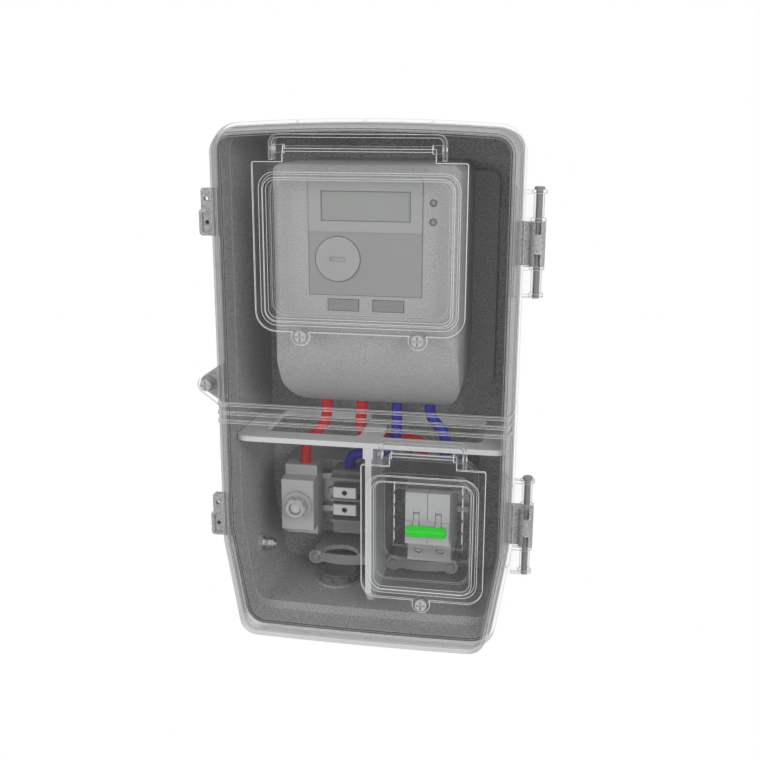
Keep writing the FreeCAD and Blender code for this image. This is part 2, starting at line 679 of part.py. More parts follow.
def base_shell():
    outer = base_outer()
    shell = outer.cut(base_inner())
    platform = drafted(
        rounded_wire(-PLATFORM_HALF_WIDTH - 1, PLATFORM_HALF_WIDTH + 1, PLATFORM_BOTTOM - 1, PLATFORM_TOP + 1,
                     BACK_WALL - 0.5, PLATFORM_CORNER + 1, PLATFORM_CORNER + 1),
        rounded_wire(-PLATFORM_HALF_WIDTH, PLATFORM_HALF_WIDTH, PLATFORM_BOTTOM, PLATFORM_TOP,
                     PLATFORM_DEPTH, PLATFORM_CORNER, PLATFORM_CORNER))
    half = BOX_HALF_WIDTH - BASE_INSET - SIDE_DRAFT - BASE_WALL
    band = box(-half, half, BACK_WALL - 0.5, BACK_WALL + BAND_RAISE, BAND_BOTTOM, BAND_TOP)
    additions = [platform, band]
    hollows = [rounded_block(-PLATFORM_HALF_WIDTH + 4, PLATFORM_HALF_WIDTH - 4, PLATFORM_BOTTOM + 4,
                             PLATFORM_TOP - 4, -1, PLATFORM_DEPTH - BACK_WALL, PLATFORM_CORNER - 4,
                             PLATFORM_CORNER - 4)]
    left, right = rail_spans()
    for x0, x1, z in (left, right):
        solid, hollow = pedestal(x0 - PEDESTAL_MARGIN / 2, x1 + PEDESTAL_MARGIN / 2,
                                 z - RAIL_HEIGHT / 2 - PEDESTAL_TOP_MARGIN,
                                 z + RAIL_HEIGHT / 2 + PEDESTAL_TOP_MARGIN)
        additions.append(solid)
        hollows.append(hollow)
    additions += [rod_y(x, CLAMP_Z, BACK_WALL - 0.5, CLAMP_DEPTH, CLAMP_POST_RADIUS) for x in clamp_places()]
    additions += [hinge_bracket(UPPER_HINGE_Z), hinge_bracket(LOWER_HINGE_Z)]
    additions += [fixing_lug(UPPER_LUG_Z), fixing_lug(LOWER_LUG_Z)]
    additions.append(saddle())
    additions += base_ear()
    additions.append(rod_z(CONDUIT_X, CONDUIT_DEPTH, CONDUIT_PAD_BOTTOM, CONDUIT_PAD_TOP, CONDUIT_PAD_RADIUS))
    additions.append(rod_x(earth_wall_x() - 1.5, EARTH_PAD_INNER, EARTH_DEPTH, EARTH_Z, EARTH_PAD_RADIUS))
    hollows.append(rounded_block(-PLATFORM_HALF_WIDTH + 4, PLATFORM_HALF_WIDTH - 4, -BACK_FIELD_HALF_HEIGHT,
                                 BACK_FIELD_HALF_HEIGHT, -1, BACK_RECESS, PLATFORM_CORNER, PLATFORM_CORNER))
    bosses = [rod_y(x, z, 0, wall_boss_depth(z) - 1, WALL_BOSS_RADIUS) for x, z in wall_screw_places()]
    shell = join(join(shell, *additions).cut(hollows), *bosses)
    cuts = [rod_y(x, z, -1, WALL_SEAT_DEPTH + 1, WALL_SCREW_RADIUS) for x, z in wall_screw_places()]
    cuts += [rod_y(x, z, WALL_SEAT_DEPTH, wall_boss_depth(z) + 1, WALL_HEAD_RADIUS)
             for x, z in wall_screw_places()]
    cuts += [rod_y(x, CLAMP_Z, CLAMP_DEPTH - 12, CLAMP_DEPTH + 1, CLAMP_SCREW_RADIUS) for x in clamp_places()]
    cuts += [rod_y(x, z, RAIL_BACK - 7, RAIL_BACK + 1, RAIL_SCREW_RADIUS) for x, z in rail_screw_places()]
    cuts.append(rod_z(CONDUIT_X, CONDUIT_DEPTH, BOX_BOTTOM - 5, CONDUIT_PAD_TOP + 5,
                      CONDUIT_TUBE_RADIUS + CONDUIT_HOLE_GAP))
    cuts.append(rod_x(earth_wall_x() - 4, EARTH_PAD_INNER + 4, EARTH_DEPTH, EARTH_Z,
                      EARTH_STUD_RADIUS + EARTH_BORE_GAP))
    cuts.append(rod_y(EAR_X, EAR_Z, SEAT_DEPTH - 12, SEAT_DEPTH + 1, SEAL_SHANK_RADIUS + SEAL_HOLE_GAP))
    return shell.cut(cuts).removeSplitter()


def rim_gasket():
    inset = BASE_INSET + (BASE_WALL + RIM_LIP - GASKET_WIDTH) / 2
    ring = plate(BASE_DEPTH, BASE_DEPTH + GASKET_THICK, inset)
    return ring.cut(plate(BASE_DEPTH - 1, BASE_DEPTH + GASKET_THICK + 1, inset + GASKET_WIDTH))


def hinge_pin(z):
    low = z - BRACKET_HEIGHT / 2 - KNUCKLE_HEIGHT - 1
    high = z + BRACKET_HEIGHT / 2 + KNUCKLE_HEIGHT + HINGE_END_GAP
    shaft = rod_z(HINGE_X, HINGE_DEPTH, low, high + HINGE_HEAD_THICK, HINGE_PIN_RADIUS)
    head = rod_z(HINGE_X, HINGE_DEPTH, high, high + HINGE_HEAD_THICK, HINGE_HEAD_RADIUS)
    rim = [edge for edge in head.Edges if abs(edge.BoundBox.ZMin - high - HINGE_HEAD_THICK) < 0.01]
    return join(shaft, head.makeChamfer(0.6, rim[:1]))


def hinge_knuckles(z):
    """The cover's two knuckles of one hinge: a sleeve on a web, closed off by a plate at either end."""
    root = BOX_HALF_WIDTH - SKIRT_WALL / 2
    front = HINGE_DEPTH + HINGE_BARREL_RADIUS
    pieces = []
    for bottom in (z - BRACKET_HEIGHT / 2 - KNUCKLE_HEIGHT, z + BRACKET_HEIGHT / 2):
        top = bottom + KNUCKLE_HEIGHT
        sleeve = rod_z(HINGE_X, HINGE_DEPTH, bottom, top, HINGE_SLEEVE_RADIUS)
        web = box(root, HINGE_X, HINGE_DEPTH, HINGE_DEPTH + HINGE_WEB_THICK, bottom, top)
        knuckle = [sleeve, web]
        for low in (bottom, top - HINGE_PLATE_THICK):
            high = low + HINGE_PLATE_THICK
            knuckle.append(rod_z(HINGE_X, HINGE_DEPTH, low, high, HINGE_BARREL_RADIUS))
            knuckle.append(box(root, HINGE_X, HINGE_DEPTH, front, low, high))
        pieces.append(join(*knuckle))
    return pieces


def pan(inset, depth_front):
    """Raised part of the cover: steep wall, sloped shoulder, and a bevel round the flat face."""
    share = 1 - FACE_EDGE_DROP / (FACE_DEPTH - SHOULDER_DEPTH)
    brow_inset = SHOULDER_INSET + (FACE_INSET - SHOULDER_INSET) * share + inset
    shoulder = outline(SHOULDER_DEPTH, SHOULDER_INSET + inset)
    brow = outline(depth_front - FACE_EDGE_DROP, brow_inset)
    lower = drafted(outline(SEAT_DEPTH, PAN_INSET + inset), shoulder)
    upper = drafted(shoulder, brow)
    bevel = drafted(brow, outline(depth_front, FACE_INSET + FACE_EDGE_INSET + inset))
    return join(lower, upper, bevel)


def canopy(x, width, top, trunnion_z):
    """Weather roof and two cheeks that carry a flap's trunnions; open at the front."""
    face_bottom = trunnion_z - CANOPY_FOOT
    outer = rounded_block(x - width / 2, x + width / 2, face_bottom, top, FACE_DEPTH - 1,
                          FACE_DEPTH + CANOPY_REACH, 6.0, 0)
    inner = rounded_block(x - width / 2 + CANOPY_WALL, x + width / 2 - CANOPY_WALL, face_bottom - 1,
                          top - CANOPY_WALL, FACE_DEPTH, FACE_DEPTH + CANOPY_REACH + 1, 6.0 - CANOPY_WALL, 0)
    return outer.cut(inner)


def cross_ribs():
    """Three ribs across the face that run on down both sides of the pan."""
    skin = pan(-CROSS_RIB_PROUD, FACE_DEPTH + CROSS_RIB_PROUD)
    ribs = []
    for z in CROSS_RIB_HEIGHTS:
        slab = box(-BOX_HALF_WIDTH, BOX_HALF_WIDTH, FLANGE_FRONT - 0.5, FACE_DEPTH + CROSS_RIB_PROUD + 1,
                   z - CROSS_RIB_WIDTH / 2, z + CROSS_RIB_WIDTH / 2)
        ribs.append(skin.common(slab))
    return ribs


def rim_ribs():
    """Short stiffeners in the angle between flange and pan."""
    strip = plate(FLANGE_FRONT - 0.5, FLANGE_FRONT + RIM_RIB_PROUD, RIM_RIB_INSET)
    strip = strip.cut(plate(FLANGE_FRONT - 1, FLANGE_FRONT + RIM_RIB_PROUD + 1, PAN_INSET + COVER_WALL / 2))
    half = RIM_RIB_WIDTH / 2
    ribs = []
    for index in range(-2, 3):
        z = index * RIM_RIB_PITCH_Z + 2.0
        ribs.append(strip.common(box(-BOX_HALF_WIDTH - 1, BOX_HALF_WIDTH + 1, FLANGE_FRONT - 1,
                                     FLANGE_FRONT + RIM_RIB_PROUD + 1, z - half, z + half)))
    for index in range(-1, 2):
        x = index * RIM_RIB_PITCH_X
        ribs.append(strip.common(box(x - half, x + half, FLANGE_FRONT - 1, FLANGE_FRONT + RIM_RIB_PROUD + 1,
                                     BOX_BOTTOM - 1, BOX_TOP + 1)))
    return ribs


def breaker_well():
    """Walls and floor of the pocket behind the breaker flap."""
    x0 = BREAKER_FLAP_X - WELL_WIDTH / 2
    x1 = BREAKER_FLAP_X + WELL_WIDTH / 2
    wall = COVER_WALL
    outer = rounded_block(x0 - wall, x1 + wall, WELL_BOTTOM - wall, WELL_TOP + wall,
                          WELL_FLOOR_DEPTH - wall, FACE_DEPTH - 0.5, WELL_CORNER + wall, WELL_CORNER + wall)
    inner = rounded_block(x0, x1, WELL_BOTTOM, WELL_TOP, WELL_FLOOR_DEPTH, FACE_DEPTH + 2,
                          WELL_CORNER, WELL_CORNER)
    slot = box(BREAKER_X - POLE_PITCH - WELL_SLOT_SIDE_GAP, BREAKER_X + POLE_PITCH + WELL_SLOT_SIDE_GAP,
               WELL_FLOOR_DEPTH - wall - 1, WELL_FLOOR_DEPTH + 1,
               DEVICE_BAY_Z - BREAKER_NOSE_HALF - WELL_SLOT_BOTTOM_GAP,
               DEVICE_BAY_Z + BREAKER_NOSE_HALF + WELL_SLOT_TOP_GAP)
    return outer, inner, slot


def seal_places():
    """Seal screws that hold the flaps to the cover's face, each with its x and z."""
    return {
        "meter_seal_screw_left": (METER_FLAP_X - METER_SEAL_SPACING / 2, METER_SEAL_Z),
        "meter_seal_screw_right": (METER_FLAP_X + METER_SEAL_SPACING / 2, METER_SEAL_Z),
        "breaker_seal_screw": (BREAKER_FLAP_X, BREAKER_SEAL_Z),
    }


def meter_window(grow, depth_rear, depth_front):
    """Opening in the cover's face under the meter flap, grown evenly for the collar behind it."""
    margin = METER_WINDOW_MARGIN - grow
    half = METER_FLAP_WIDTH / 2 - margin
    radius = METER_WINDOW_CORNER + grow
    return rounded_block(METER_FLAP_X - half, METER_FLAP_X + half, METER_FLAP_BOTTOM + margin,
                         METER_FLAP_TOP - margin, depth_rear, depth_front, radius, radius)


def cover_shell():
    skirt = plate(SKIRT_REAR, FLANGE_FRONT, 0)
    shell = join(skirt, pan(0, FACE_DEPTH))
    shell = shell.cut([plate(SKIRT_REAR - 1, SEAT_DEPTH, SKIRT_WALL), pan(COVER_WALL, FACE_DEPTH - COVER_WALL)])
    well_outer, well_inner, slot = breaker_well()
    collar = meter_window(METER_COLLAR_WALL, FACE_DEPTH - COVER_WALL - METER_COLLAR_DEPTH, FACE_DEPTH - 1)
    window = meter_window(0, FACE_DEPTH - COVER_WALL - METER_COLLAR_DEPTH - 1, FACE_DEPTH + 1)
    additions = [well_outer, collar]
    additions.append(canopy(METER_FLAP_X, METER_CANOPY_WIDTH, METER_CANOPY_TOP, METER_TRUNNION_Z))
    additions.append(canopy(BREAKER_FLAP_X, BREAKER_CANOPY_WIDTH, BREAKER_CANOPY_TOP, BREAKER_TRUNNION_Z))
    additions += cross_ribs() + rim_ribs()
    additions += hinge_knuckles(UPPER_HINGE_Z) + hinge_knuckles(LOWER_HINGE_Z)
    additions.append(ear(SEAT_DEPTH, FLANGE_FRONT, SKIRT_WALL))
    boss = SEAL_SHANK_RADIUS + SEAL_HOLE_GAP + SEAL_BOSS_WALL
    additions += [rod_y(x, z, FACE_DEPTH - COVER_WALL - SEAL_BOSS_DEPTH, FACE_DEPTH - 1, boss)
                  for x, z in seal_places().values()]
    shell = join(shell, *additions)
    cuts = [well_inner, slot, window]
    cuts += [rod_y(x, z, FACE_DEPTH - COVER_WALL - SEAL_BOSS_DEPTH - 1, FACE_DEPTH + 2,
                   SEAL_SHANK_RADIUS + SEAL_HOLE_GAP) for x, z in seal_places().values()]
    cuts.append(rod_y(EAR_X, EAR_Z, SEAT_DEPTH - 1, FLANGE_FRONT + 1, SEAL_SHANK_RADIUS + SEAL_RUNNING_GAP))
    bore = HINGE_PIN_RADIUS + HINGE_RUNNING_GAP
    reach = BRACKET_HEIGHT / 2 + KNUCKLE_HEIGHT + 1
    cuts += [rod_z(HINGE_X, HINGE_DEPTH, z - reach, z + reach, bore) for z in (UPPER_HINGE_Z, LOWER_HINGE_Z)]
    hole = TRUNNION_RADIUS + TRUNNION_RUNNING_GAP
    for x, width, z in ((METER_FLAP_X, METER_CANOPY_WIDTH, METER_TRUNNION_Z),
                        (BREAKER_FLAP_X, BREAKER_CANOPY_WIDTH, BREAKER_TRUNNION_Z)):
        cuts.append(rod_x(x - width / 2 - 1, x + width / 2 + 1, TRUNNION_DEPTH, z, hole))
    return shell.cut(cuts).removeSplitter()


def flap(x, width, top, bottom, corner, canopy_width, trunnion_z, seal_xs):
    """Window flap: flat rim, raised frame round the view, neck to its barrel, trunnions and seal ears."""
    half = width / 2
    rim = rounded_block(x - half, x + half, bottom, top, FLAP_BACK, FLAP_FRONT, 1.5, corner)
    for seal_x in seal_xs:
        rim = rim.fuse(rod_y(seal_x, bottom - SEAL_DROP, FLAP_BACK, FLAP_FRONT, SEAL_EAR_RADIUS))

    def frame(inset, depth, radius):
        reach = half - FLAP_FRAME_MARGIN - inset
        return rounded_wire(x - reach, x + reach, bottom + FLAP_FRAME_MARGIN + inset,
                            top - FLAP_FRAME_TOP_MARGIN - inset, depth, radius, radius)

    slope, raised = FLAP_FRAME_SLOPE, FLAP_FRAME_RAISE
    foot, crest = FLAP_FRAME_CORNER, FLAP_FRAME_CORNER - slope * 0.8
    inward = FLAP_WALL * 0.7
    panel = drafted(frame(0, FLAP_FRONT - 0.3, foot), frame(slope, FLAP_FRONT + raised, crest))
    hollow = drafted(frame(inward, FLAP_BACK - 0.3, foot - inward),
                     frame(slope + inward, FLAP_BACK + raised, crest - inward))
    inner = canopy_width / 2 - CANOPY_WALL - FLAP_SIDE_GAP
    neck_half = inner - FLAP_NECK_INSET
    neck = box(x - neck_half, x + neck_half, FLAP_BACK, FLAP_FRONT, top - 1, trunnion_z)
    barrel = rod_x(x - inner, x + inner, TRUNNION_DEPTH, trunnion_z, FLAP_BARREL_RADIUS)
    bosses = [rod_x(start, start + FLAP_BOSS_LENGTH, TRUNNION_DEPTH, trunnion_z, FLAP_BOSS_RADIUS)
              for start in (x - inner, x + inner - FLAP_BOSS_LENGTH)]
    reach = canopy_width / 2
    trunnions = rod_x(x - reach, x + reach, TRUNNION_DEPTH, trunnion_z, TRUNNION_RADIUS)
    shape = join(rim, panel, neck, barrel, trunnions, *bosses)
    cuts = [hollow]
    for seal_x in seal_xs:
        cuts.append(rod_y(seal_x, bottom - SEAL_DROP, FLAP_BACK - 1, FLAP_FRONT + 1,
                          SEAL_SHANK_RADIUS + SEAL_RUNNING_GAP))
    return shape.cut(cuts).removeSplitter()


def seal_screw(x, z, seat_depth, shank_depth):
    """Screw with a bevelled head and a crossed slot; the seat is what its head lies on."""
    head = rod_y(x, z, seat_depth, seat_depth + SEAL_HEAD_THICK, SEAL_HEAD_RADIUS)
    front = [edge for edge in head.Edges if edge.BoundBox.YMax < -seat_depth - SEAL_HEAD_THICK + 0.01]
    head = head.makeChamfer(SEAL_HEAD_BEVEL, front)
    shape = join(head, rod_y(x, z, shank_depth, seat_depth + 1, SEAL_SHANK_RADIUS))
    top = seat_depth + SEAL_HEAD_THICK
    long, short = SEAL_SLOT_LENGTH / 2, SEAL_SLOT_WIDTH / 2
    for half_x, half_z in ((long, short), (short, long)):
        shape = shape.cut(box(x - half_x, x + half_x, top - SEAL_SLOT_DEPTH, top + 1, z - half_z, z + half_z))
    return shape


def shelf_plan(front):
    """Top view of the shelf as a prism: front corners rounded, wide enough to be trimmed by the walls."""
    half = BOX_HALF_WIDTH - BASE_INSET - BASE_WALL - SHELF_SIDE_GAP - 0.2
    low = SHELF_TOP - SHELF_THICK
    slab = box(-half, half, BACK_WALL + SHELF_REAR_GAP, front, low, SHELF_TOP)
    corners = [edge for edge in slab.Edges if edge.BoundBox.YMax < -front + 0.01
               and edge.BoundBox.ZLength > SHELF_THICK - 0.01]
    return slab.makeFillet(SHELF_CORNER, corners)


def divider():
    """Shelf with two lead openings, and the partition below it, moulded as one piece."""
    rear = BACK_WALL + SHELF_REAR_GAP
    low = SHELF_TOP - SHELF_THICK
    shelf = shelf_plan(SHELF_FRONT).common(base_inner(SHELF_SIDE_GAP))
    for x0, x1 in (LEFT_OPENING, RIGHT_OPENING):
        hole = box(x0, x1, rear + SHELF_REAR_STRIP, SHELF_FRONT - SHELF_STRIP, low - 1, SHELF_TOP + 1)
        corners = [edge for edge in hole.Edges if edge.BoundBox.ZLength > SHELF_THICK]
        shelf = shelf.cut(hole.makeFillet(SHELF_OPENING_CORNER, corners))
    half = PARTITION_THICK / 2
    front = SHELF_FRONT - 1.5
    profile = Part.makePolygon([
        V(-half, -rear, low + 1), V(-half, -front, low + 1), V(-half, -front, PARTITION_BOTTOM + PARTITION_TIP),
        V(-half, -front + PARTITION_TIP, PARTITION_BOTTOM), V(-half, -rear, PARTITION_BOTTOM),
        V(-half, -rear, low + 1)])
    partition = Part.Face(profile).extrude(V(PARTITION_THICK, 0, 0))
    partition = partition.cut(box(-half - 1, half + 1, rear - 1, PARTITION_NOTCH_DEPTH, PARTITION_NOTCH_BOTTOM,
                                  low))
    head = box(-PARTITION_HEAD_WIDTH / 2, PARTITION_HEAD_WIDTH / 2, SHELF_FRONT - SHELF_STRIP, SHELF_FRONT,
               low - PARTITION_HEAD_HEIGHT, low + 1)
    return join(shelf, partition, head)


def soft_corner(start, corner, end, fullness):
    """Arc between two faces; a fullness of 0.414 runs tangent into both, less leaves a faint crease."""
    chord = (start + end) * 0.5
    return arc(start, chord + (corner - chord) * fullness, end)


def meter_body(inset):
    """Meter casing: front rolled back at the bottom, rounded bottom corners, broken front edges."""
    back = -PLATFORM_DEPTH
    front = -METER_FRONT + inset
    low = METER_BOTTOM + inset
    high = METER_TOP - inset
    left = METER_X - METER_WIDTH / 2 + inset
    right = left + METER_WIDTH - 2 * inset
    soft = METER_EDGE_RADIUS - inset
    radius = METER_ROLL_RADIUS - inset
    roll_top = V(left, front, low + radius)
    roll_bottom = V(left, front + radius, low)
    crown = V(left, front + soft, high)
    brow = V(left, front, high - soft)
    side = Part.Wire([
        segment(V(left, back, high), crown), soft_corner(crown, V(left, front, high), brow, EDGE_FULLNESS),
        segment(brow, roll_top), soft_corner(roll_top, V(left, front, low), roll_bottom, ROLL_FULLNESS),
        segment(roll_bottom, V(left, back, low)),
        segment(V(left, back, low), V(left, back, high))])
    along = Part.Face(side).extrude(V(right - left, 0, 0))
    across = rounded_block(left, right, low, high, PLATFORM_DEPTH - 1, METER_FRONT + 1,
                           METER_TOP_CORNER, METER_SIDE_CORNER - inset)
    ends = (V(left, front + soft, low), V(left + soft, front, low), V(right - soft, front, low),
            V(right, front + soft, low))
    plan = Part.Wire([
        segment(V(left, back, low), ends[0]), soft_corner(ends[0], V(left, front, low), ends[1], EDGE_FULLNESS),
        segment(ends[1], ends[2]), soft_corner(ends[2], V(right, front, low), ends[3], EDGE_FULLNESS),
        segment(ends[3], V(right, back, low)), segment(V(right, back, low), V(left, back, low))])
    upright = Part.Face(plan).extrude(V(0, 0, high - low))
    return along.common(across).common(upright)


def lead_bores(z0, z1):
    return [rod_z(x, LEAD_DEPTH, z0, z1, LEAD_RADIUS + LEAD_BORE_GAP) for x in LEAD_STARTS]


def meter_pieces():
    whole = meter_body(0)
    left = METER_X - METER_WIDTH / 2
    zone = box(left - 1, left + METER_WIDTH + 1, METER_COVER_REAR, METER_FRONT + 1,
               METER_BOTTOM - 1, METER_COVER_SPLIT)
    core = meter_body(METER_COVER_WALL)
    block = meter_body(METER_COVER_WALL + METER_COVER_GAP)
    cover = whole.common(zone).cut(core)
    seam_zone = box(left - 1, left + METER_WIDTH + 1, METER_COVER_REAR - METER_SEAM, METER_FRONT + 1,
                    METER_BOTTOM - 1, METER_COVER_SPLIT + METER_SEAM)
    case = join(whole.cut(seam_zone), block.common(box(left, left + METER_WIDTH, METER_COVER_REAR - 1,
                                                       METER_FRONT, METER_BOTTOM, METER_COVER_SPLIT + 1)))
    bores = lead_bores(METER_BOTTOM - 2, METER_BOTTOM + METER_COVER_WALL + LEAD_ENTRY)
    return case.cut(bores), cover.cut(bores)


def meter_faceplate():
    """Label field: thicker frame above, thinner field below, window for the display."""
    x0 = METER_X + 0.5 - FACEPLATE_WIDTH / 2
    x1 = x0 + FACEPLATE_WIDTH
    upper = box(x0, x1, METER_FRONT, METER_FRONT + FACEPLATE_THICK, FACEPLATE_STEP, FACEPLATE_TOP)
    lower = box(x0, x1, METER_FRONT, METER_FRONT + FACEPLATE_LOWER_THICK, FACEPLATE_BOTTOM, FACEPLATE_STEP)
    shape = join(upper, lower)
    window = box(display_left(), display_left() + DISPLAY_WIDTH, METER_FRONT - 1,
                 METER_FRONT + FACEPLATE_THICK + 1, DISPLAY_BOTTOM, DISPLAY_TOP)
    return shape.cut([window, rod_y(PORT_X, PORT_Z, METER_FRONT - 1, METER_FRONT + 2, PORT_RADIUS)])


def display_left():
    return METER_X + 0.9 - DISPLAY_WIDTH / 2


def meter_display():
    return box(display_left(), display_left() + DISPLAY_WIDTH, METER_FRONT,
               METER_FRONT + FACEPLATE_THICK - DISPLAY_SUNK, DISPLAY_BOTTOM, DISPLAY_TOP)


def meter_port():
    disc = rod_y(PORT_X, PORT_Z, METER_FRONT, METER_FRONT + PORT_THICK, PORT_RADIUS)
    rim = [edge for edge in disc.Edges if edge.BoundBox.YMax < -METER_FRONT - PORT_THICK + 0.01]
    disc = disc.makeChamfer(PORT_BEVEL, rim)
    length, height = PORT_SLOT
    slot = rounded_block(PORT_X - length / 2, PORT_X + length / 2, PORT_Z - height / 2, PORT_Z + height / 2,
                         METER_FRONT + 0.8, METER_FRONT + PORT_THICK + 1, height / 2 - 0.05,
                         height / 2 - 0.05)
    return disc.cut(slot)


def meter_lamps():
    lamps = []
    for z in LAMP_HEIGHTS:
        lamps.append(Part.makeCone(LAMP_RADIUS, LAMP_RADIUS - LAMP_HEIGHT, LAMP_HEIGHT,
                                   V(LAMP_X, -METER_FRONT, z), V(0, -1, 0)))
    return Part.makeCompound(lamps)


def meter_tabs():
    tabs = []
    for x in TAB_CENTRES:
        tabs.append(box(x - TAB_WIDTH / 2, x + TAB_WIDTH / 2, METER_FRONT, METER_FRONT + TAB_THICK,
                        TAB_BOTTOM, TAB_TOP))
    return Part.makeCompound(tabs)


def rail(span):
    """Top-hat rail: crown against the pedestal, brims towards the devices."""
    x0, x1, z = span
    crown, brim, sheet = RAIL_CROWN / 2, RAIL_HEIGHT / 2, RAIL_SHEET
    points = [
        (RAIL_BACK, -crown), (RAIL_FRONT - sheet, -crown), (RAIL_FRONT - sheet, -brim), (RAIL_FRONT, -brim),
        (RAIL_FRONT, -crown + sheet), (RAIL_BACK + sheet, -crown + sheet), (RAIL_BACK + sheet, crown - sheet),
        (RAIL_FRONT, crown - sheet), (RAIL_FRONT, brim), (RAIL_FRONT - sheet, brim),
        (RAIL_FRONT - sheet, crown), (RAIL_BACK, crown), (RAIL_BACK, -crown)]
    wire = Part.makePolygon([V(x0, -depth, z + height) for depth, height in points])
    shape = Part.Face(wire).extrude(V(x1 - x0, 0, 0))
    for screw_x, screw_z in rail_screw_places():
        shape = shape.cut(rod_y(screw_x, screw_z, RAIL_BACK - 1, RAIL_BACK + 3, RAIL_SCREW_RADIUS + 0.2))
    return shape


def rail_screws():
    screws = []
    for x, z in rail_screw_places():
        seat = RAIL_BACK + RAIL_SHEET
        head = rod_y(x, z, seat, seat + 2.4, RAIL_SCREW_RADIUS * 1.9)
        top = [edge for edge in head.Edges if edge.BoundBox.YMax < -seat - 2.39]
        screws.append(join(head.makeChamfer(0.7, top), rod_y(x, z, RAIL_BACK - 5, seat + 1, RAIL_SCREW_RADIUS)))
    return Part.makeCompound(screws)


def device_profile(x0, x1, z, nose_depth, nose_half, shoulder_depth, half):
    """Rail device from the side: shoulders top and bottom, a nose, and a channel for the rail."""
    points = [
        (DEVICE_BACK, -half), (shoulder_depth, -half), (shoulder_depth, -nose_half), (nose_depth, -nose_half),
        (nose_depth, nose_half), (shoulder_depth, nose_half), (shoulder_depth, half), (DEVICE_BACK, half),
        (DEVICE_BACK, -half)]
    wire = Part.makePolygon([V(x0, -depth, z + height) for depth, height in points])
    body = Part.Face(wire).extrude(V(x1 - x0, 0, 0))
    channel = RAIL_HEIGHT / 2 + DEVICE_RAIL_GAP
    return body.cut(box(x0 - 1, x1 + 1, DEVICE_BACK - 1, RAIL_FRONT, z - channel, z + channel))


def pole_centres():
    return BREAKER_X - POLE_PITCH / 2, BREAKER_X + POLE_PITCH / 2


def breaker_screw_places():
    for x in pole_centres():
        for side in (-1, 1):
            yield x, DEVICE_BAY_Z + side * (BREAKER_HALF_HEIGHT + BREAKER_NOSE_HALF) / 2


def breaker_body():
    x0, x1 = BREAKER_X - POLE_PITCH, BREAKER_X + POLE_PITCH
    body = device_profile(x0, x1, DEVICE_BAY_Z, BREAKER_NOSE_DEPTH, BREAKER_NOSE_HALF,
                          BREAKER_SHOULDER_DEPTH, BREAKER_HALF_HEIGHT)
    long = [edge for edge in body.Edges
            if edge.BoundBox.XLength > POLE_PITCH and edge.BoundBox.YMax < -BREAKER_SHOULDER_DEPTH + 1]
    body = body.makeFillet(BREAKER_EDGE_RADIUS, long)
    cuts = [box(BREAKER_X - BREAKER_SEAM_WIDTH / 2, BREAKER_X + BREAKER_SEAM_WIDTH / 2,
                BREAKER_SHOULDER_DEPTH - BREAKER_SEAM_DEPTH, BREAKER_NOSE_DEPTH + 1,
                DEVICE_BAY_Z - BREAKER_HALF_HEIGHT - 1, DEVICE_BAY_Z + BREAKER_HALF_HEIGHT + 1)]
    pocket = LEVER_HUB_WIDTH / 2 + LEVER_GAP
    for x in pole_centres():
        cuts.append(rod_x(x - pocket, x + pocket, LEVER_AXIS_DEPTH, DEVICE_BAY_Z,
                          LEVER_HUB_RADIUS + LEVER_GAP))
        cuts.append(box(x - pocket, x + pocket, BREAKER_NOSE_DEPTH - LEVER_MOUTH_DEPTH,
                        BREAKER_NOSE_DEPTH + 1, DEVICE_BAY_Z - LEVER_MOUTH_HALF,
                        DEVICE_BAY_Z + LEVER_MOUTH_HALF))
        for side in (-1, 1):
            end = DEVICE_BAY_Z + side * BREAKER_HALF_HEIGHT
            cuts.append(rod_z(x, terminal_depth(), min(end, end - side * (LEAD_ENTRY + 2)),
                              max(end, end - side * (LEAD_ENTRY + 2)), LEAD_RADIUS + LEAD_BORE_GAP))
    for x, z in breaker_screw_places():
        cuts.append(rod_y(x, z, BREAKER_SHOULDER_DEPTH - TERMINAL_SCREW_SUNK - TERMINAL_SCREW_HEIGHT,
                          BREAKER_SHOULDER_DEPTH + 1, TERMINAL_SCREW_RADIUS + 0.3))
    return body.cut(cuts)


def terminal_depth():
    return LEAD_DEPTH + 3.0


def slotted_screw(x, z, depth_front, height, radius):
    shape = rod_y(x, z, depth_front - height, depth_front, radius)
    return shape.cut(box(x - radius - 1, x + radius + 1, depth_front - 1.0, depth_front + 1, z - 0.5, z + 0.5))


def breaker_screws():
    front = BREAKER_SHOULDER_DEPTH - TERMINAL_SCREW_SUNK
    return Part.makeCompound([slotted_screw(x, z, front, TERMINAL_SCREW_HEIGHT, TERMINAL_SCREW_RADIUS)
                              for x, z in breaker_screw_places()])


def breaker_lever():
    """Two hubs in the poles' pockets with arms to one bar; modelled level, then tilted down."""
    axis_y = -LEVER_AXIS_DEPTH
    tip = LEVER_AXIS_DEPTH + LEVER_TIP_REACH
    pieces = []
    for x in pole_centres():
        half = LEVER_HUB_WIDTH / 2
        pieces.append(rod_x(x - half, x + half, LEVER_AXIS_DEPTH, DEVICE_BAY_Z, LEVER_HUB_RADIUS))
        pieces.append(box(x - half, x + half, LEVER_AXIS_DEPTH, tip - 1, DEVICE_BAY_Z - LEVER_ARM_THICK / 2,
                          DEVICE_BAY_Z + LEVER_ARM_THICK / 2))
    bar = box(BREAKER_X - LEVER_BAR_WIDTH / 2, BREAKER_X + LEVER_BAR_WIDTH / 2, tip - LEVER_BAR_DEPTH, tip,
              DEVICE_BAY_Z - LEVER_BAR_HEIGHT / 2, DEVICE_BAY_Z + LEVER_BAR_HEIGHT / 2)
    long = [edge for edge in bar.Edges if edge.BoundBox.XLength > 1]
    shape = join(bar.makeFillet(1.4, long), *pieces)
    shape.rotate(V(0, axis_y, DEVICE_BAY_Z), V(1, 0, 0), math.degrees(LEVER_TILT))
    return shape


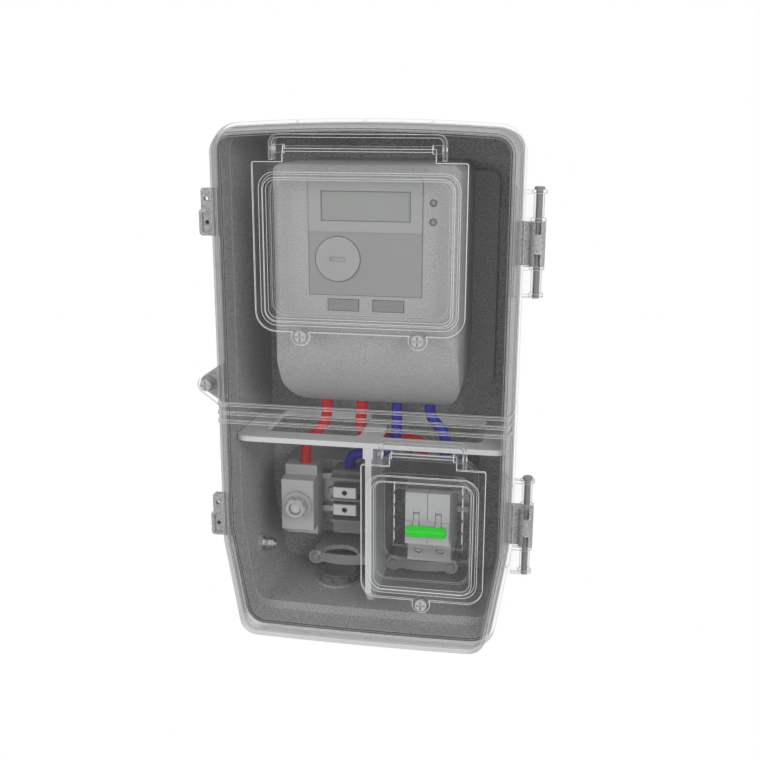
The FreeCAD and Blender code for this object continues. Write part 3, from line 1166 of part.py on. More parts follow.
def fuse_base():
    x0, x1 = FUSE_X - FUSE_WIDTH / 2, FUSE_X + FUSE_WIDTH / 2
    body = device_profile(x0, x1, LEFT_BAY_Z, FUSE_NOSE_DEPTH, FUSE_NOSE_HALF, FUSE_SHOULDER_DEPTH,
                          FUSE_HALF_HEIGHT)
    long = [edge for edge in body.Edges
            if edge.BoundBox.XLength > 20 and edge.BoundBox.YMax < -FUSE_SHOULDER_DEPTH + 1]
    body = body.makeFillet(BREAKER_EDGE_RADIUS, long)
    collar = rod_y(FUSE_X, LEFT_BAY_Z, FUSE_NOSE_DEPTH - 1, FUSE_NOSE_DEPTH + FUSE_COLLAR_PROUD,
                   FUSE_COLLAR_RADIUS)
    body = join(body, collar)
    cap_bottom = FUSE_NOSE_DEPTH - FUSE_CAP_SUNK
    cuts = [
        rod_y(FUSE_X, LEFT_BAY_Z, cap_bottom, FUSE_NOSE_DEPTH + FUSE_COLLAR_PROUD + 1,
              FUSE_CAP_RADIUS + FUSE_RUNNING_GAP),
        rod_y(FUSE_X, LEFT_BAY_Z, CARTRIDGE_BACK, cap_bottom + 1, CARTRIDGE_RADIUS + 0.4)]
    lead_x, lead_depth = fuse_lead_place()
    top = LEFT_BAY_Z + FUSE_HALF_HEIGHT
    cuts.append(rod_z(lead_x, lead_depth, top - LEAD_ENTRY - 1, top + 1, LEAD_RADIUS + LEAD_BORE_GAP))
    return body.cut(cuts)


def fuse_lead_place():
    return FUSE_X + 2.0, DEVICE_BACK + 14.0


def fuse_cap():
    """Cap with finger flutes round its head and a hole that shows the cartridge."""
    front = FUSE_NOSE_DEPTH + FUSE_CAP_REACH
    shank = rod_y(FUSE_X, LEFT_BAY_Z, FUSE_NOSE_DEPTH - FUSE_CAP_SUNK + 0.3, front, FUSE_CAP_RADIUS)
    rim = [edge for edge in shank.Edges if edge.BoundBox.YMax < -front + 0.01]
    shape = shank.makeChamfer(FUSE_CAP_BEVEL, rim)
    seat = FUSE_NOSE_DEPTH + FUSE_COLLAR_PROUD
    for index in range(FUSE_CAP_FLUTES):
        angle = 2 * math.pi * (index + 0.5) / FUSE_CAP_FLUTES
        reach = FUSE_CAP_RADIUS + FUSE_CAP_FLUTE_RADIUS * 0.45
        shape = shape.cut(rod_y(FUSE_X + reach * math.cos(angle), LEFT_BAY_Z + reach * math.sin(angle),
                                seat + 0.8, front + 1, FUSE_CAP_FLUTE_RADIUS))
    return shape.cut(rod_y(FUSE_X, LEFT_BAY_Z, FUSE_NOSE_DEPTH - FUSE_CAP_SUNK - 1, front + 1, FUSE_CAP_BORE))


def fuse_cartridge():
    body = rod_y(FUSE_X, LEFT_BAY_Z, CARTRIDGE_BACK + 0.3, CARTRIDGE_FRONT, CARTRIDGE_RADIUS)
    ends = [edge for edge in body.Edges if edge.BoundBox.YLength < 0.01]
    return body.makeChamfer(0.6, ends)


def neutral_carrier():
    x0 = NEUTRAL_X - NEUTRAL_BAR_WIDTH / 2 - NEUTRAL_CARRIER_MARGIN
    x1 = NEUTRAL_X + NEUTRAL_BAR_WIDTH / 2 + NEUTRAL_CARRIER_MARGIN
    half = NEUTRAL_CARRIER_HALF_HEIGHT
    body = box(x0, x1, DEVICE_BACK, NEUTRAL_CARRIER_FRONT, LEFT_BAY_Z - half,
               LEFT_BAY_Z + half)
    long = [edge for edge in body.Edges if edge.BoundBox.YLength > 10]
    body = body.makeFillet(1.5, long)
    channel = RAIL_HEIGHT / 2 + DEVICE_RAIL_GAP
    body = body.cut(box(x0 - 1, x1 + 1, DEVICE_BACK - 1, RAIL_FRONT, LEFT_BAY_Z - channel,
                        LEFT_BAY_Z + channel))
    ribs = []
    for z in (NEUTRAL_TOP, sum(NEUTRAL_BAR_CENTRES) / 2, NEUTRAL_BOTTOM):
        ribs.append(box(x0, x1, NEUTRAL_CARRIER_FRONT - 1, NEUTRAL_FRONT - 3, z - 1.2, z + 1.2))
    lead_depth = neutral_lead_depth()
    bore = rod_z(NEUTRAL_X, lead_depth, LEFT_BAY_Z + half - LEAD_ENTRY, LEFT_BAY_Z + half + 1,
                 LEAD_RADIUS + LEAD_BORE_GAP)
    return join(body, *ribs).cut(bore)


def neutral_lead_depth():
    return (DEVICE_BACK + NEUTRAL_CARRIER_FRONT) / 2 + 1.0


def neutral_bars():
    bars = []
    for z in NEUTRAL_BAR_CENTRES:
        half = NEUTRAL_BAR_HEIGHT / 2
        bar = box(NEUTRAL_X - NEUTRAL_BAR_WIDTH / 2, NEUTRAL_X + NEUTRAL_BAR_WIDTH / 2, NEUTRAL_CARRIER_FRONT,
                  NEUTRAL_FRONT, z - half, z + half)
        front = [edge for edge in bar.Edges if edge.BoundBox.YMax < -NEUTRAL_FRONT + 0.01]
        bar = bar.makeChamfer(0.5, front)
        bars.append(bar.cut(rod_y(NEUTRAL_X, z, NEUTRAL_FRONT - 5, NEUTRAL_FRONT + 1,
                                  NEUTRAL_SCREW_RADIUS + 0.15)))
    return Part.makeCompound(bars)


def neutral_screws():
    return Part.makeCompound([slotted_screw(NEUTRAL_X, z, NEUTRAL_FRONT - 0.6, 4.0, NEUTRAL_SCREW_RADIUS)
                              for z in NEUTRAL_BAR_CENTRES])


def clamp_strap(centre):
    """Dog-bone strap: two flat eyes and a bar that bows out over the cable."""
    half = CLAMP_SPACING / 2
    eye_reach = CLAMP_EYE_RADIUS + 1
    rear, front = CLAMP_DEPTH, CLAMP_DEPTH + CLAMP_THICK
    inner_left, inner_right = centre - half + eye_reach, centre + half - eye_reach

    def strip(depth):
        start = V(centre - half, -depth, 0)
        end = V(centre + half, -depth, 0)
        a = V(inner_left, -depth, 0)
        b = V(inner_right, -depth, 0)
        crown = V(centre, -depth - CLAMP_BOW, 0)
        return start, a, crown, b, end

    s0, a0, c0, b0, e0 = strip(rear)
    s1, a1, c1, b1, e1 = strip(front)
    face = Part.Face(Part.Wire([
        segment(s0, a0), arc(a0, c0, b0), segment(b0, e0), segment(e0, e1),
        segment(e1, b1), arc(b1, c1, a1), segment(a1, s1), segment(s1, s0)]))
    bar = face.extrude(V(0, 0, CLAMP_BAR_HEIGHT))
    bar.translate(V(0, 0, CLAMP_Z - CLAMP_BAR_HEIGHT / 2))
    eyes = [rod_y(centre + side * half, CLAMP_Z, rear, front, CLAMP_EYE_RADIUS) for side in (-1, 1)]
    holes = [rod_y(centre + side * half, CLAMP_Z, rear - 1, front + 1, CLAMP_SCREW_RADIUS + 0.2)
             for side in (-1, 1)]
    return join(bar, *eyes).cut(holes)


def clamp_screws():
    seat = CLAMP_DEPTH + CLAMP_THICK
    screws = []
    for x in clamp_places():
        head = rod_y(x, CLAMP_Z, seat, seat + CLAMP_HEAD_THICK, CLAMP_HEAD_RADIUS)
        top = [edge for edge in head.Edges if edge.BoundBox.YMax < -seat - CLAMP_HEAD_THICK + 0.01]
        head = head.makeChamfer(0.6, top)
        screws.append(join(head, rod_y(x, CLAMP_Z, CLAMP_DEPTH - 10, seat + 1, CLAMP_SCREW_RADIUS)))
    return Part.makeCompound(screws)


def conduit_bushing():
    """Threaded tube with an outside flange, clamped through the floor by the locknut."""
    flange_top = CONDUIT_PAD_BOTTOM
    low = flange_top - CONDUIT_TAIL
    tube = rod_z(CONDUIT_X, CONDUIT_DEPTH, low, NUT_TOP + TUBE_ABOVE_NUT, CONDUIT_TUBE_RADIUS)
    flange = rod_z(CONDUIT_X, CONDUIT_DEPTH, flange_top - CONDUIT_FLANGE_THICK, flange_top,
                   CONDUIT_FLANGE_RADIUS)
    return join(tube, flange).cut(rod_z(CONDUIT_X, CONDUIT_DEPTH, low - 1, NUT_TOP + 5, CONDUIT_BORE))


def conduit_nut():
    nut = rod_z(CONDUIT_X, CONDUIT_DEPTH, NUT_BOTTOM, NUT_TOP, NUT_RADIUS)
    for index in range(NUT_NOTCHES):
        notch = box(CONDUIT_X + NUT_RADIUS - NUT_NOTCH_DEPTH, CONDUIT_X + NUT_RADIUS + 2,
                    CONDUIT_DEPTH - NUT_NOTCH_WIDTH / 2, CONDUIT_DEPTH + NUT_NOTCH_WIDTH / 2,
                    NUT_BOTTOM - 1, NUT_TOP + 1)
        notch.rotate(V(CONDUIT_X, -CONDUIT_DEPTH, 0), V(0, 0, 1), 360.0 * index / NUT_NOTCHES)
        nut = nut.cut(notch)
    return nut.cut(rod_z(CONDUIT_X, CONDUIT_DEPTH, NUT_BOTTOM - 1, NUT_TOP + 1, CONDUIT_TUBE_RADIUS))


def hexagon_x(x0, x1, flats):
    """Hexagonal prism along X on the earth stud's axis."""
    corner = flats / math.sqrt(3)
    points = []
    for index in range(7):
        angle = math.pi / 3 * index
        points.append(V(x0, -EARTH_DEPTH + corner * math.cos(angle), EARTH_Z + corner * math.sin(angle)))
    return Part.Face(Part.makePolygon(points)).extrude(V(x1 - x0, 0, 0))


def earth_stud():
    outside = earth_wall_x() - 1.5
    head = hexagon_x(outside - EARTH_HEAD_THICK, outside, EARTH_NUT_FLATS)
    return join(head, rod_x(outside - 1, EARTH_STUD_INNER, EARTH_DEPTH, EARTH_Z, EARTH_STUD_RADIUS))


def earth_nuts():
    """Washer, nut, washer and nut stacked on the stud inside the box."""
    hole = rod_x(EARTH_PAD_INNER - 1, EARTH_STUD_INNER + 5, EARTH_DEPTH, EARTH_Z, EARTH_STUD_RADIUS)
    x = EARTH_PAD_INNER
    stack = []
    for round_piece, thick in ((True, EARTH_WASHER_THICK), (False, EARTH_NUT_THICK),
                               (True, EARTH_WASHER_THICK), (False, EARTH_NUT_THICK)):
        if round_piece:
            piece = rod_x(x, x + thick, EARTH_DEPTH, EARTH_Z, EARTH_WASHER_RADIUS)
        else:
            piece = hexagon_x(x, x + thick, EARTH_NUT_FLATS)
        stack.append(piece.cut(hole))
        x += thick
    return Part.makeCompound(stack)


def lead(node, points):
    """Round lead: straight runs joined by the largest tangent arcs that the runs allow."""
    path = [V(*point) for point in points]
    edges = []
    length = 0.0
    smallest = 1000.0
    last = path[0]
    for before, corner, after in zip(path, path[1:], path[2:]):
        into = (corner - before).normalize()
        out = (after - corner).normalize()
        turn = into.getAngle(out)
        short = min((corner - before).Length, (after - corner).Length)
        trim = 0.45 * short
        radius = trim / math.tan(turn / 2)
        smallest = min(smallest, radius)
        start = corner - into * trim
        end = corner + out * trim
        bisector = (out - into).normalize()
        centre = corner + bisector * (radius / math.cos(turn / 2))
        middle = centre - bisector * radius
        edges += [segment(last, start), arc(start, middle, end)]
        length += (start - last).Length + radius * turn
        last = end
    edges.append(segment(last, path[-1]))
    length += (path[-1] - last).Length
    first = (path[1] - path[0]).normalize()
    section = Part.Wire([Part.Circle(path[0], first, LEAD_RADIUS).toShape()])
    tube = Part.Wire(edges).makePipeShell([section], True, True)
    expected = math.pi * LEAD_RADIUS ** 2 * length
    print(node, "length %.1f" % length, "smallest radius %.1f" % smallest, "volume share %.4f"
          % (tube.Volume / expected))
    return tube


def leads():
    """Routes by hand, each from a meter terminal down through the shelf."""
    red_fuse, red_breaker, blue_neutral, blue_breaker = LEAD_STARTS
    depth = -LEAD_DEPTH
    start = METER_BOTTOM + LEAD_ENTRY
    pole_left, pole_right = pole_centres()
    pole_depth = -terminal_depth()
    pole_end = DEVICE_BAY_Z + BREAKER_HALF_HEIGHT - LEAD_ENTRY
    fuse_x, fuse_depth = fuse_lead_place()
    fuse_end = LEFT_BAY_Z + FUSE_HALF_HEIGHT - LEAD_ENTRY
    neutral_end = LEFT_BAY_Z + NEUTRAL_CARRIER_HALF_HEIGHT - LEAD_ENTRY
    neutral_depth = -neutral_lead_depth()
    crossing = SHELF_TOP - SHELF_THICK - LEAD_SHELF_DROP
    return {
        "lead_red_fuse": [
            (red_fuse, depth, start), (red_fuse, depth, -38), (fuse_x, -fuse_depth, -62),
            (fuse_x, -fuse_depth, fuse_end)],
        "lead_red_breaker": [
            (red_breaker, depth, start), (red_breaker, depth, -26), (-18.2, -48, crossing - 2),
            (pole_left - LEAD_CROSSING_RUN, -50, crossing), (pole_left, pole_depth, crossing),
            (pole_left, pole_depth, pole_end)],
        "lead_blue_neutral": [
            (blue_neutral, depth, start), (blue_neutral, depth, -62), (NEUTRAL_X, neutral_depth, -70),
            (NEUTRAL_X, neutral_depth, neutral_end)],
        "lead_blue_breaker": [
            (blue_breaker, depth, start), (blue_breaker, depth, -30), (pole_right, pole_depth, -42),
            (pole_right, pole_depth, pole_end)],
    }


def build():
    save("base_shell", base_shell())
    save("rim_gasket", rim_gasket())
    save("hinge_pin_upper", hinge_pin(UPPER_HINGE_Z))
    save("hinge_pin_lower", hinge_pin(LOWER_HINGE_Z))
    save("cover_shell", cover_shell())
    meter_seals = (METER_FLAP_X - METER_SEAL_SPACING / 2, METER_FLAP_X + METER_SEAL_SPACING / 2)
    save("meter_flap", flap(METER_FLAP_X, METER_FLAP_WIDTH, METER_FLAP_TOP, METER_FLAP_BOTTOM,
                            METER_FLAP_CORNER, METER_CANOPY_WIDTH, METER_TRUNNION_Z, meter_seals))
    save("breaker_flap", flap(BREAKER_FLAP_X, BREAKER_FLAP_WIDTH, BREAKER_FLAP_TOP, BREAKER_FLAP_BOTTOM,
                              BREAKER_FLAP_CORNER, BREAKER_CANOPY_WIDTH, BREAKER_TRUNNION_Z,
                              [BREAKER_FLAP_X]))
    for node, (x, z) in seal_places().items():
        save(node, seal_screw(x, z, FLAP_FRONT, FACE_DEPTH - SEAL_SHANK_REACH + 0.6))
    save("cover_seal_screw", seal_screw(EAR_X, EAR_Z, FLANGE_FRONT, SEAT_DEPTH - SEAL_SHANK_REACH))
    save("divider", divider())
    case, terminal_cover = meter_pieces()
    save("meter_case", case)
    save("meter_terminal_cover", terminal_cover)
    save("meter_faceplate", meter_faceplate())
    save("meter_display", meter_display())
    save("meter_port", meter_port())
    save("meter_lamps", meter_lamps())
    save("meter_tabs", meter_tabs())
    left, right = rail_spans()
    save("rail_left", rail(left))
    save("rail_right", rail(right))
    save("rail_screws", rail_screws())
    save("breaker_body", breaker_body())
    save("breaker_screws", breaker_screws())
    save("breaker_lever", breaker_lever())
    save("fuse_base", fuse_base())
    save("fuse_cap", fuse_cap())
    save("fuse_cartridge", fuse_cartridge())
    save("neutral_carrier", neutral_carrier())
    save("neutral_bars", neutral_bars())
    save("neutral_screws", neutral_screws())
    save("clamp_strap_left", clamp_strap(LEFT_CLAMP_X))
    save("clamp_strap_right", clamp_strap(RIGHT_CLAMP_X))
    save("clamp_screws", clamp_screws())
    save("conduit_bushing", conduit_bushing())
    save("conduit_nut", conduit_nut())
    save("earth_stud", earth_stud())
    save("earth_nuts", earth_nuts())
    for node, points in leads().items():
        save(node, lead(node, points))


build()
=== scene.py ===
"""Visual scene of a wall-mounted electric meter box with a clear hinged cover.

Blender units are metres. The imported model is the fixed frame; this file gives its pieces their
finish, adds the fine detail, and sets the stage, the lights and the camera.
"""

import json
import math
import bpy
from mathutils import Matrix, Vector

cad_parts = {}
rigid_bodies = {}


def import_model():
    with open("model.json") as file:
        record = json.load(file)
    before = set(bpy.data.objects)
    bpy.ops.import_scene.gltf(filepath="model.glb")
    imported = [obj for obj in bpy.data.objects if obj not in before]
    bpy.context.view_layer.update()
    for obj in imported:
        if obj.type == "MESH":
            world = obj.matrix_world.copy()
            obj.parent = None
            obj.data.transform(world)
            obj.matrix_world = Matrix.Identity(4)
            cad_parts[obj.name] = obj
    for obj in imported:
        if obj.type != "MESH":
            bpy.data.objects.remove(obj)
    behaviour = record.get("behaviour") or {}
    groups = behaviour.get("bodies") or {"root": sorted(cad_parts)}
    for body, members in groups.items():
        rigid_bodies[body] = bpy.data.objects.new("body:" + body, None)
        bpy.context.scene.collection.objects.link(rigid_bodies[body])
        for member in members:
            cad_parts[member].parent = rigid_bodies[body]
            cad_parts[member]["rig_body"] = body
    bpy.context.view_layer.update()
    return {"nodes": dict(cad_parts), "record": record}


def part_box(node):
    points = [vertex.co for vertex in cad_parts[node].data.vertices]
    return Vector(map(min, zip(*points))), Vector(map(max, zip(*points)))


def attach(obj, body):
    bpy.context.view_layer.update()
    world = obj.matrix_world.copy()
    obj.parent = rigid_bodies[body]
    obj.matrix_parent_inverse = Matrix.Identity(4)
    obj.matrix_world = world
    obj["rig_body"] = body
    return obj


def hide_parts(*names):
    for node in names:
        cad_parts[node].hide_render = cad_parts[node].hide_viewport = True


bl_info = {
    "name": "Electric Meter Box",
    "version": (1, 0, 0),
    "blender": (4, 5, 0),
    "location": "3D View > Sidebar > Meter Box",
    "description": "Finishes, fine detail and studio stage for a wall-mounted electric meter box",
    "category": "Object",
}

import bmesh
import bpy
from bpy.props import FloatProperty, FloatVectorProperty, IntProperty, PointerProperty
from mathutils import Matrix, Vector

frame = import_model()

MM = 0.001
FINISH_PREFIX = "finish_"

# Creases sharper than these stay sharp, in degrees
CREASE = 32.0
CLEAR_CREASE = 24.0
MERGE_DISTANCE = 0.002 * MM

# Half width at each depth of the inner side of the cover's pan, beside its cross ribs
PAN_INSIDE = ((0.1104, -0.1119), (0.11007, -0.1220), (0.10719, -0.1326), (0.10587, -0.13357))
RIB_HEIGHTS = (-0.0060, -0.0130, -0.0197)
RIB_HALF = 0.00105

# Walls inside the cover lie within these distances of the origin's planes; they take less of the painted
# edge-on reflection
INNER_WALLS = (("X", 0.092), ("Z", 0.172), ("Y", 0.1345))
# Facing values between which the clear plastic turns from clear to grey, a painted reflection at grazing
# angles
CLEAR_TO_REFLECTION_GREY = (0.25, 0.9)

# Planes at which the faceplate and the lever change colour
FACEPLATE_STEP_HEIGHT = 0.1252
LEVER_BAR_BACK = 0.1076

# Breaker's raised band and slot lips, from the middle of its nose
SLOT_HALF = 2.5 * MM
SLOT_END = 8.45 * MM
LIP_START = 5.5 * MM
LIP_FOOT = 6.2 * MM
LIP_TOP_INSET = 0.05 * MM
LIP_DEPTH = 2.9 * MM
BAND_PROUD = 2.4 * MM
BAND_SEAT = 0.02 * MM
BAND_SIDE_INSET = 0.3 * MM
BAND_TOP = 1.7 * MM
BAND_FOOT = 17.0 * MM
BAND_NOTCH = 7.2 * MM
BAND_NOTCH_GAP = 0.2 * MM
BAND_EDGE = 0.25 * MM

# Painted shadow lines round the parts of the meter's face, and score marks on the well's floor
SHADOW_LINE_CLEARANCE = 0.2 * MM
LAMP_SHADOW_LINE_RADIUS = 2.5 * MM
SCORE_RADIUS = 0.45 * MM
SCORE_SIDE_GAP = 9.6 * MM
SCORE_DEPTH = 97.2 * MM
SCORE_START = -119.5 * MM

# The cover's many creases carry thinner painted highlight beads than its flaps'
COVER_HIGHLIGHT_BEAD_SHARE = 0.4

# Stage
FLOOR_REACH = 6.0
FLOOR_HEIGHT = -0.9
LIGHT_SIZE = 1.2

# Lens and place of the photograph's camera
IMAGE_SIZE = 760
FOCAL_PIXELS = 1018.0
SENSOR = 36.0
CAMERA_PLACE = (0.1436, -0.850, 0.208)
CAMERA_RIGHT = (0.98419, 0.17713, 0.00297)
CAMERA_UP = (-0.04745, 0.2475, 0.96773)


def swatch(label, words, value):
    return FloatVectorProperty(name=label, description=words, default=value, size=3, subtype="COLOR",
                               min=0.0, max=1.0)


class MeterBoxColours(bpy.types.PropertyGroup):
    """Base colours of the finishes, as linear values."""

    box: swatch("Box", "Grey of the moulded back box", (0.36, 0.362, 0.364))
    # Painted reflection: grey that the clear pieces take where they are seen edge on
    clear: swatch("Clear plastic", "Grey of the cover and its flaps seen edge on", (0.44, 0.442, 0.445))
    seal: swatch("Seal screws", "Pale grey of the seal screws", (0.42, 0.425, 0.43))
    pin: swatch("Hinge pins", "Grey of the hinge pins", (0.24, 0.24, 0.242))
    divider: swatch("Divider", "Pale grey of the shelf and partition", (0.7, 0.71, 0.72))
    meter: swatch("Meter", "Pale grey of the meter's casing", (0.41, 0.41, 0.41))
    label: swatch("Label field", "Grey of the lower half of the meter's faceplate", (0.31, 0.312, 0.315))
    tab: swatch("Tabs", "Grey of the two tabs under the faceplate", (0.25, 0.252, 0.255))
    frame: swatch("Faceplate frame", "Grey of the thicker upper half of the faceplate", (0.385, 0.388, 0.392))
    # Painted shadow: dark grey of the strips that stand for the shade in the gaps round the faceplate's
    # windows
    painted_shadow_line: swatch("Grooves", "Dark grey in the grooves round the faceplate's windows", (0.13, 0.13, 0.135))
    # Painted highlight: white of the beads on the clear pieces' creases, also given to the score marks
    edge: swatch("Frosted edge", "White of the clear pieces' edges and score marks", (0.85, 0.86, 0.87))
    display: swatch("Display", "Grey of the display window", (0.32, 0.33, 0.32))
    port: swatch("Reading port", "Grey of the round reading port", (0.385, 0.385, 0.385))
    lamp: swatch("Lamps", "Colour of the small lamps", (0.26, 0.262, 0.265))
    steel: swatch("Steel", "Zinc plated rails and screws", (0.5, 0.5, 0.5))
    breaker: swatch("Breaker", "Pale grey of the breaker's casing", (0.5, 0.505, 0.51))
    lever: swatch("Lever", "Green of the breaker's lever", (0.02, 0.8, 0.02))
    fuse: swatch("Fuse base", "Pale grey of the fuse base and cap", (0.4, 0.404, 0.408))
    ceramic: swatch("Cartridge", "White of the fuse cartridge", (0.5, 0.5, 0.49))
    carrier: swatch("Terminal carrier", "Dark grey of the neutral carrier", (0.16, 0.16, 0.162))
    terminal: swatch("Terminals", "Plated neutral bars", (0.45, 0.45, 0.44))
    strap: swatch("Straps", "Grey of the cable clamp straps", (0.46, 0.462, 0.465))
    conduit: swatch("Conduit fitting", "Grey of the conduit bushing and nut", (0.165, 0.165, 0.168))
    red: swatch("Red lead", "Insulation of the live leads", (0.55, 0.012, 0.012))
    blue: swatch("Blue lead", "Insulation of the neutral leads", (0.018, 0.018, 0.3))
    rubber: swatch("Gasket", "Foam strip under the cover", (0.09, 0.09, 0.09))


class MeterBoxSizes(bpy.types.PropertyGroup):
    """Sizes of the added detail and strengths of the finishes."""

    # Painted reflection: the clear pieces turn opaque grey towards edge on, less so for the walls inside the
    # cover
    clear_face: FloatProperty(name="Clear face", description="Cover's opacity where it is seen face on",
                              default=0.03, min=0.0, max=1.0, subtype="FACTOR")
    clear_edge_reflection: FloatProperty(name="Clear edge", description="Cover's opacity where it is seen edge on",
                              default=0.66, min=0.0, max=1.0, subtype="FACTOR")
    clear_inner: FloatProperty(name="Clear inner edge",
                               description="Edge-on opacity of the walls inside the cover",
                               default=0.13, min=0.0, max=1.0, subtype="FACTOR")
    clear_shade: FloatProperty(name="Clear shade",
                               description="Share of light that one clear face holds back",
                               default=0.12, min=0.0, max=1.0, subtype="FACTOR")
    tab_width: FloatProperty(name="Tab", description="Width of one tab under the faceplate",
                             default=22.8 * MM, unit="LENGTH", min=0.005, max=0.05)
    # Painted shadow: width of the dark strips that stand for the shade in the gaps on the meter's face
    shadow_line_width: FloatProperty(name="Groove", description="Width of the grooves on the meter's face",
                                default=0.5 * MM, unit="LENGTH", min=0.0001, max=0.003)
    # Painted highlight: radius of the pale beads on the clear pieces' creases
    highlight_bead_radius: FloatProperty(name="Edge bead", description="Radius of the clear pieces' rounded edges",
                               default=0.2 * MM, unit="LENGTH", min=0.00005, max=0.001)
    score_length: FloatProperty(name="Score mark", description="Length of one score mark beside the slot",
                                default=7.6 * MM, unit="LENGTH", min=0.001, max=0.02)
    score_pitch: FloatProperty(name="Score pitch", description="Distance between the score marks' middles",
                               default=10.4 * MM, unit="LENGTH", min=0.001, max=0.03)
    score_count: IntProperty(name="Score marks", description="Score marks along one side of the slot",
                             default=5, min=1, max=20)


class MeterBoxLights(bpy.types.PropertyGroup):
    """Strength of the studio lights."""

    sky: FloatProperty(name="Surround", description="Strength of the pale surround as a light",
                       default=0.4, min=0.0, max=5.0)
    key: FloatProperty(name="Key", description="Power of the key light in watts", default=28.5, min=0.0,
                       max=200.0)
    fill: FloatProperty(name="Fill", description="Power of the fill light in watts", default=17.0, min=0.0,
                        max=200.0)


def colours():
    return bpy.context.scene.meter_box_colours


def sizes():
    return bpy.context.scene.meter_box_sizes


def link(tree, start, end):
    tree.links.new(start, end)


def node(tree, kind, x, y, **settings):
    made = tree.nodes.new(kind)
    made.location = (x, y)
    for key, value in settings.items():
        setattr(made, key, value)
    return made


def shader_group(name, inputs, outputs):
    """Empty shader node group with named sockets, as the tree and its two end nodes."""
    tree = bpy.data.node_groups.new(name, "ShaderNodeTree")
    for label, kind, value in inputs:
        socket = tree.interface.new_socket(name=label, in_out="INPUT", socket_type=kind)
        socket.default_value = value
    for label, kind in outputs:
        tree.interface.new_socket(name=label, in_out="OUTPUT", socket_type=kind)
    return tree, node(tree, "NodeGroupInput", -900, 0), node(tree, "NodeGroupOutput", 600, 0)


def grain_group():
    """Moulded plastic: cloudy tone, fine speckle and a spark-eroded surface."""
    tree, entry, exit_ = shader_group(
        "moulded_grain",
        [("Colour", "NodeSocketColor", (0.5, 0.5, 0.5, 1.0)), ("Cloud", "NodeSocketFloat", 0.06),
         ("Speckle", "NodeSocketFloat", 0.04), ("Scale", "NodeSocketFloat", 900.0),
         ("Roughness", "NodeSocketFloat", 0.45), ("Spread", "NodeSocketFloat", 0.08)],
        [("Colour", "NodeSocketColor"), ("Roughness", "NodeSocketFloat"), ("Height", "NodeSocketFloat")])
    place = node(tree, "ShaderNodeTexCoord", -900, -300)
    cloud = node(tree, "ShaderNodeTexNoise", -650, 200)
    cloud.inputs["Scale"].default_value = 22.0
    cloud.inputs["Detail"].default_value = 3.0
    fine = node(tree, "ShaderNodeTexNoise", -650, -100)
    fine.inputs["Detail"].default_value = 2.0
    link(tree, place.outputs["Object"], cloud.inputs["Vector"])
    link(tree, place.outputs["Object"], fine.inputs["Vector"])
    link(tree, entry.outputs["Scale"], fine.inputs["Scale"])
    gains = []
    for source, amount, y in ((cloud, "Cloud", 200), (fine, "Speckle", -100)):
        centred = node(tree, "ShaderNodeMath", -450, y, operation="SUBTRACT")
        centred.inputs[1].default_value = 0.5
        link(tree, source.outputs["Fac"], centred.inputs[0])
        scaled = node(tree, "ShaderNodeMath", -280, y, operation="MULTIPLY")
        link(tree, centred.outputs[0], scaled.inputs[0])
        link(tree, entry.outputs[amount], scaled.inputs[1])
        gains.append(scaled)
    total = node(tree, "ShaderNodeMath", -120, 100, operation="ADD")
    link(tree, gains[0].outputs[0], total.inputs[0])
    link(tree, gains[1].outputs[0], total.inputs[1])
    factor = node(tree, "ShaderNodeMath", 40, 100, operation="MULTIPLY_ADD")
    factor.inputs[1].default_value = 2.0
    factor.inputs[2].default_value = 1.0
    link(tree, total.outputs[0], factor.inputs[0])
    toned = node(tree, "ShaderNodeVectorMath", 220, 120, operation="SCALE")
    link(tree, entry.outputs["Colour"], toned.inputs[0])
    link(tree, factor.outputs[0], toned.inputs["Scale"])
    rough = node(tree, "ShaderNodeMath", 220, -120, operation="MULTIPLY_ADD")
    link(tree, fine.outputs["Fac"], rough.inputs[0])
    link(tree, entry.outputs["Spread"], rough.inputs[1])
    link(tree, entry.outputs["Roughness"], rough.inputs[2])
    link(tree, toned.outputs[0], exit_.inputs["Colour"])
    link(tree, rough.outputs[0], exit_.inputs["Roughness"])
    link(tree, fine.outputs["Fac"], exit_.inputs["Height"])


def dust_group():
    """Thin dust on faces that look upwards."""
    tree, entry, exit_ = shader_group(
        "settled_dust",
        [("Colour", "NodeSocketColor", (0.5, 0.5, 0.5, 1.0)), ("Amount", "NodeSocketFloat", 0.1)],
        [("Colour", "NodeSocketColor"), ("Mask", "NodeSocketFloat")])
    place = node(tree, "ShaderNodeTexCoord", -900, -300)
    split = node(tree, "ShaderNodeSeparateXYZ", -700, -300)
    link(tree, place.outputs["Normal"], split.inputs[0])
    up = node(tree, "ShaderNodeMapRange", -500, -300)
    up.inputs["From Min"].default_value = 0.3
    up.inputs["From Max"].default_value = 1.0
    link(tree, split.outputs["Z"], up.inputs["Value"])
    patch = node(tree, "ShaderNodeTexNoise", -700, -560)
    patch.inputs["Scale"].default_value = 60.0
    patch.inputs["Detail"].default_value = 4.0
    link(tree, place.outputs["Object"], patch.inputs["Vector"])
    mask = node(tree, "ShaderNodeMath", -300, -380, operation="MULTIPLY")
    link(tree, up.outputs["Result"], mask.inputs[0])
    link(tree, patch.outputs["Fac"], mask.inputs[1])
    share = node(tree, "ShaderNodeMath", -120, -300, operation="MULTIPLY")
    link(tree, mask.outputs[0], share.inputs[0])
    link(tree, entry.outputs["Amount"], share.inputs[1])
    mix = node(tree, "ShaderNodeMix", 100, 0, data_type="RGBA")
    mix.inputs["B"].default_value = (0.55, 0.54, 0.52, 1.0)
    link(tree, share.outputs[0], mix.inputs["Factor"])
    link(tree, entry.outputs["Colour"], mix.inputs["A"])
    link(tree, mix.outputs["Result"], exit_.inputs["Colour"])
    link(tree, mask.outputs[0], exit_.inputs["Mask"])


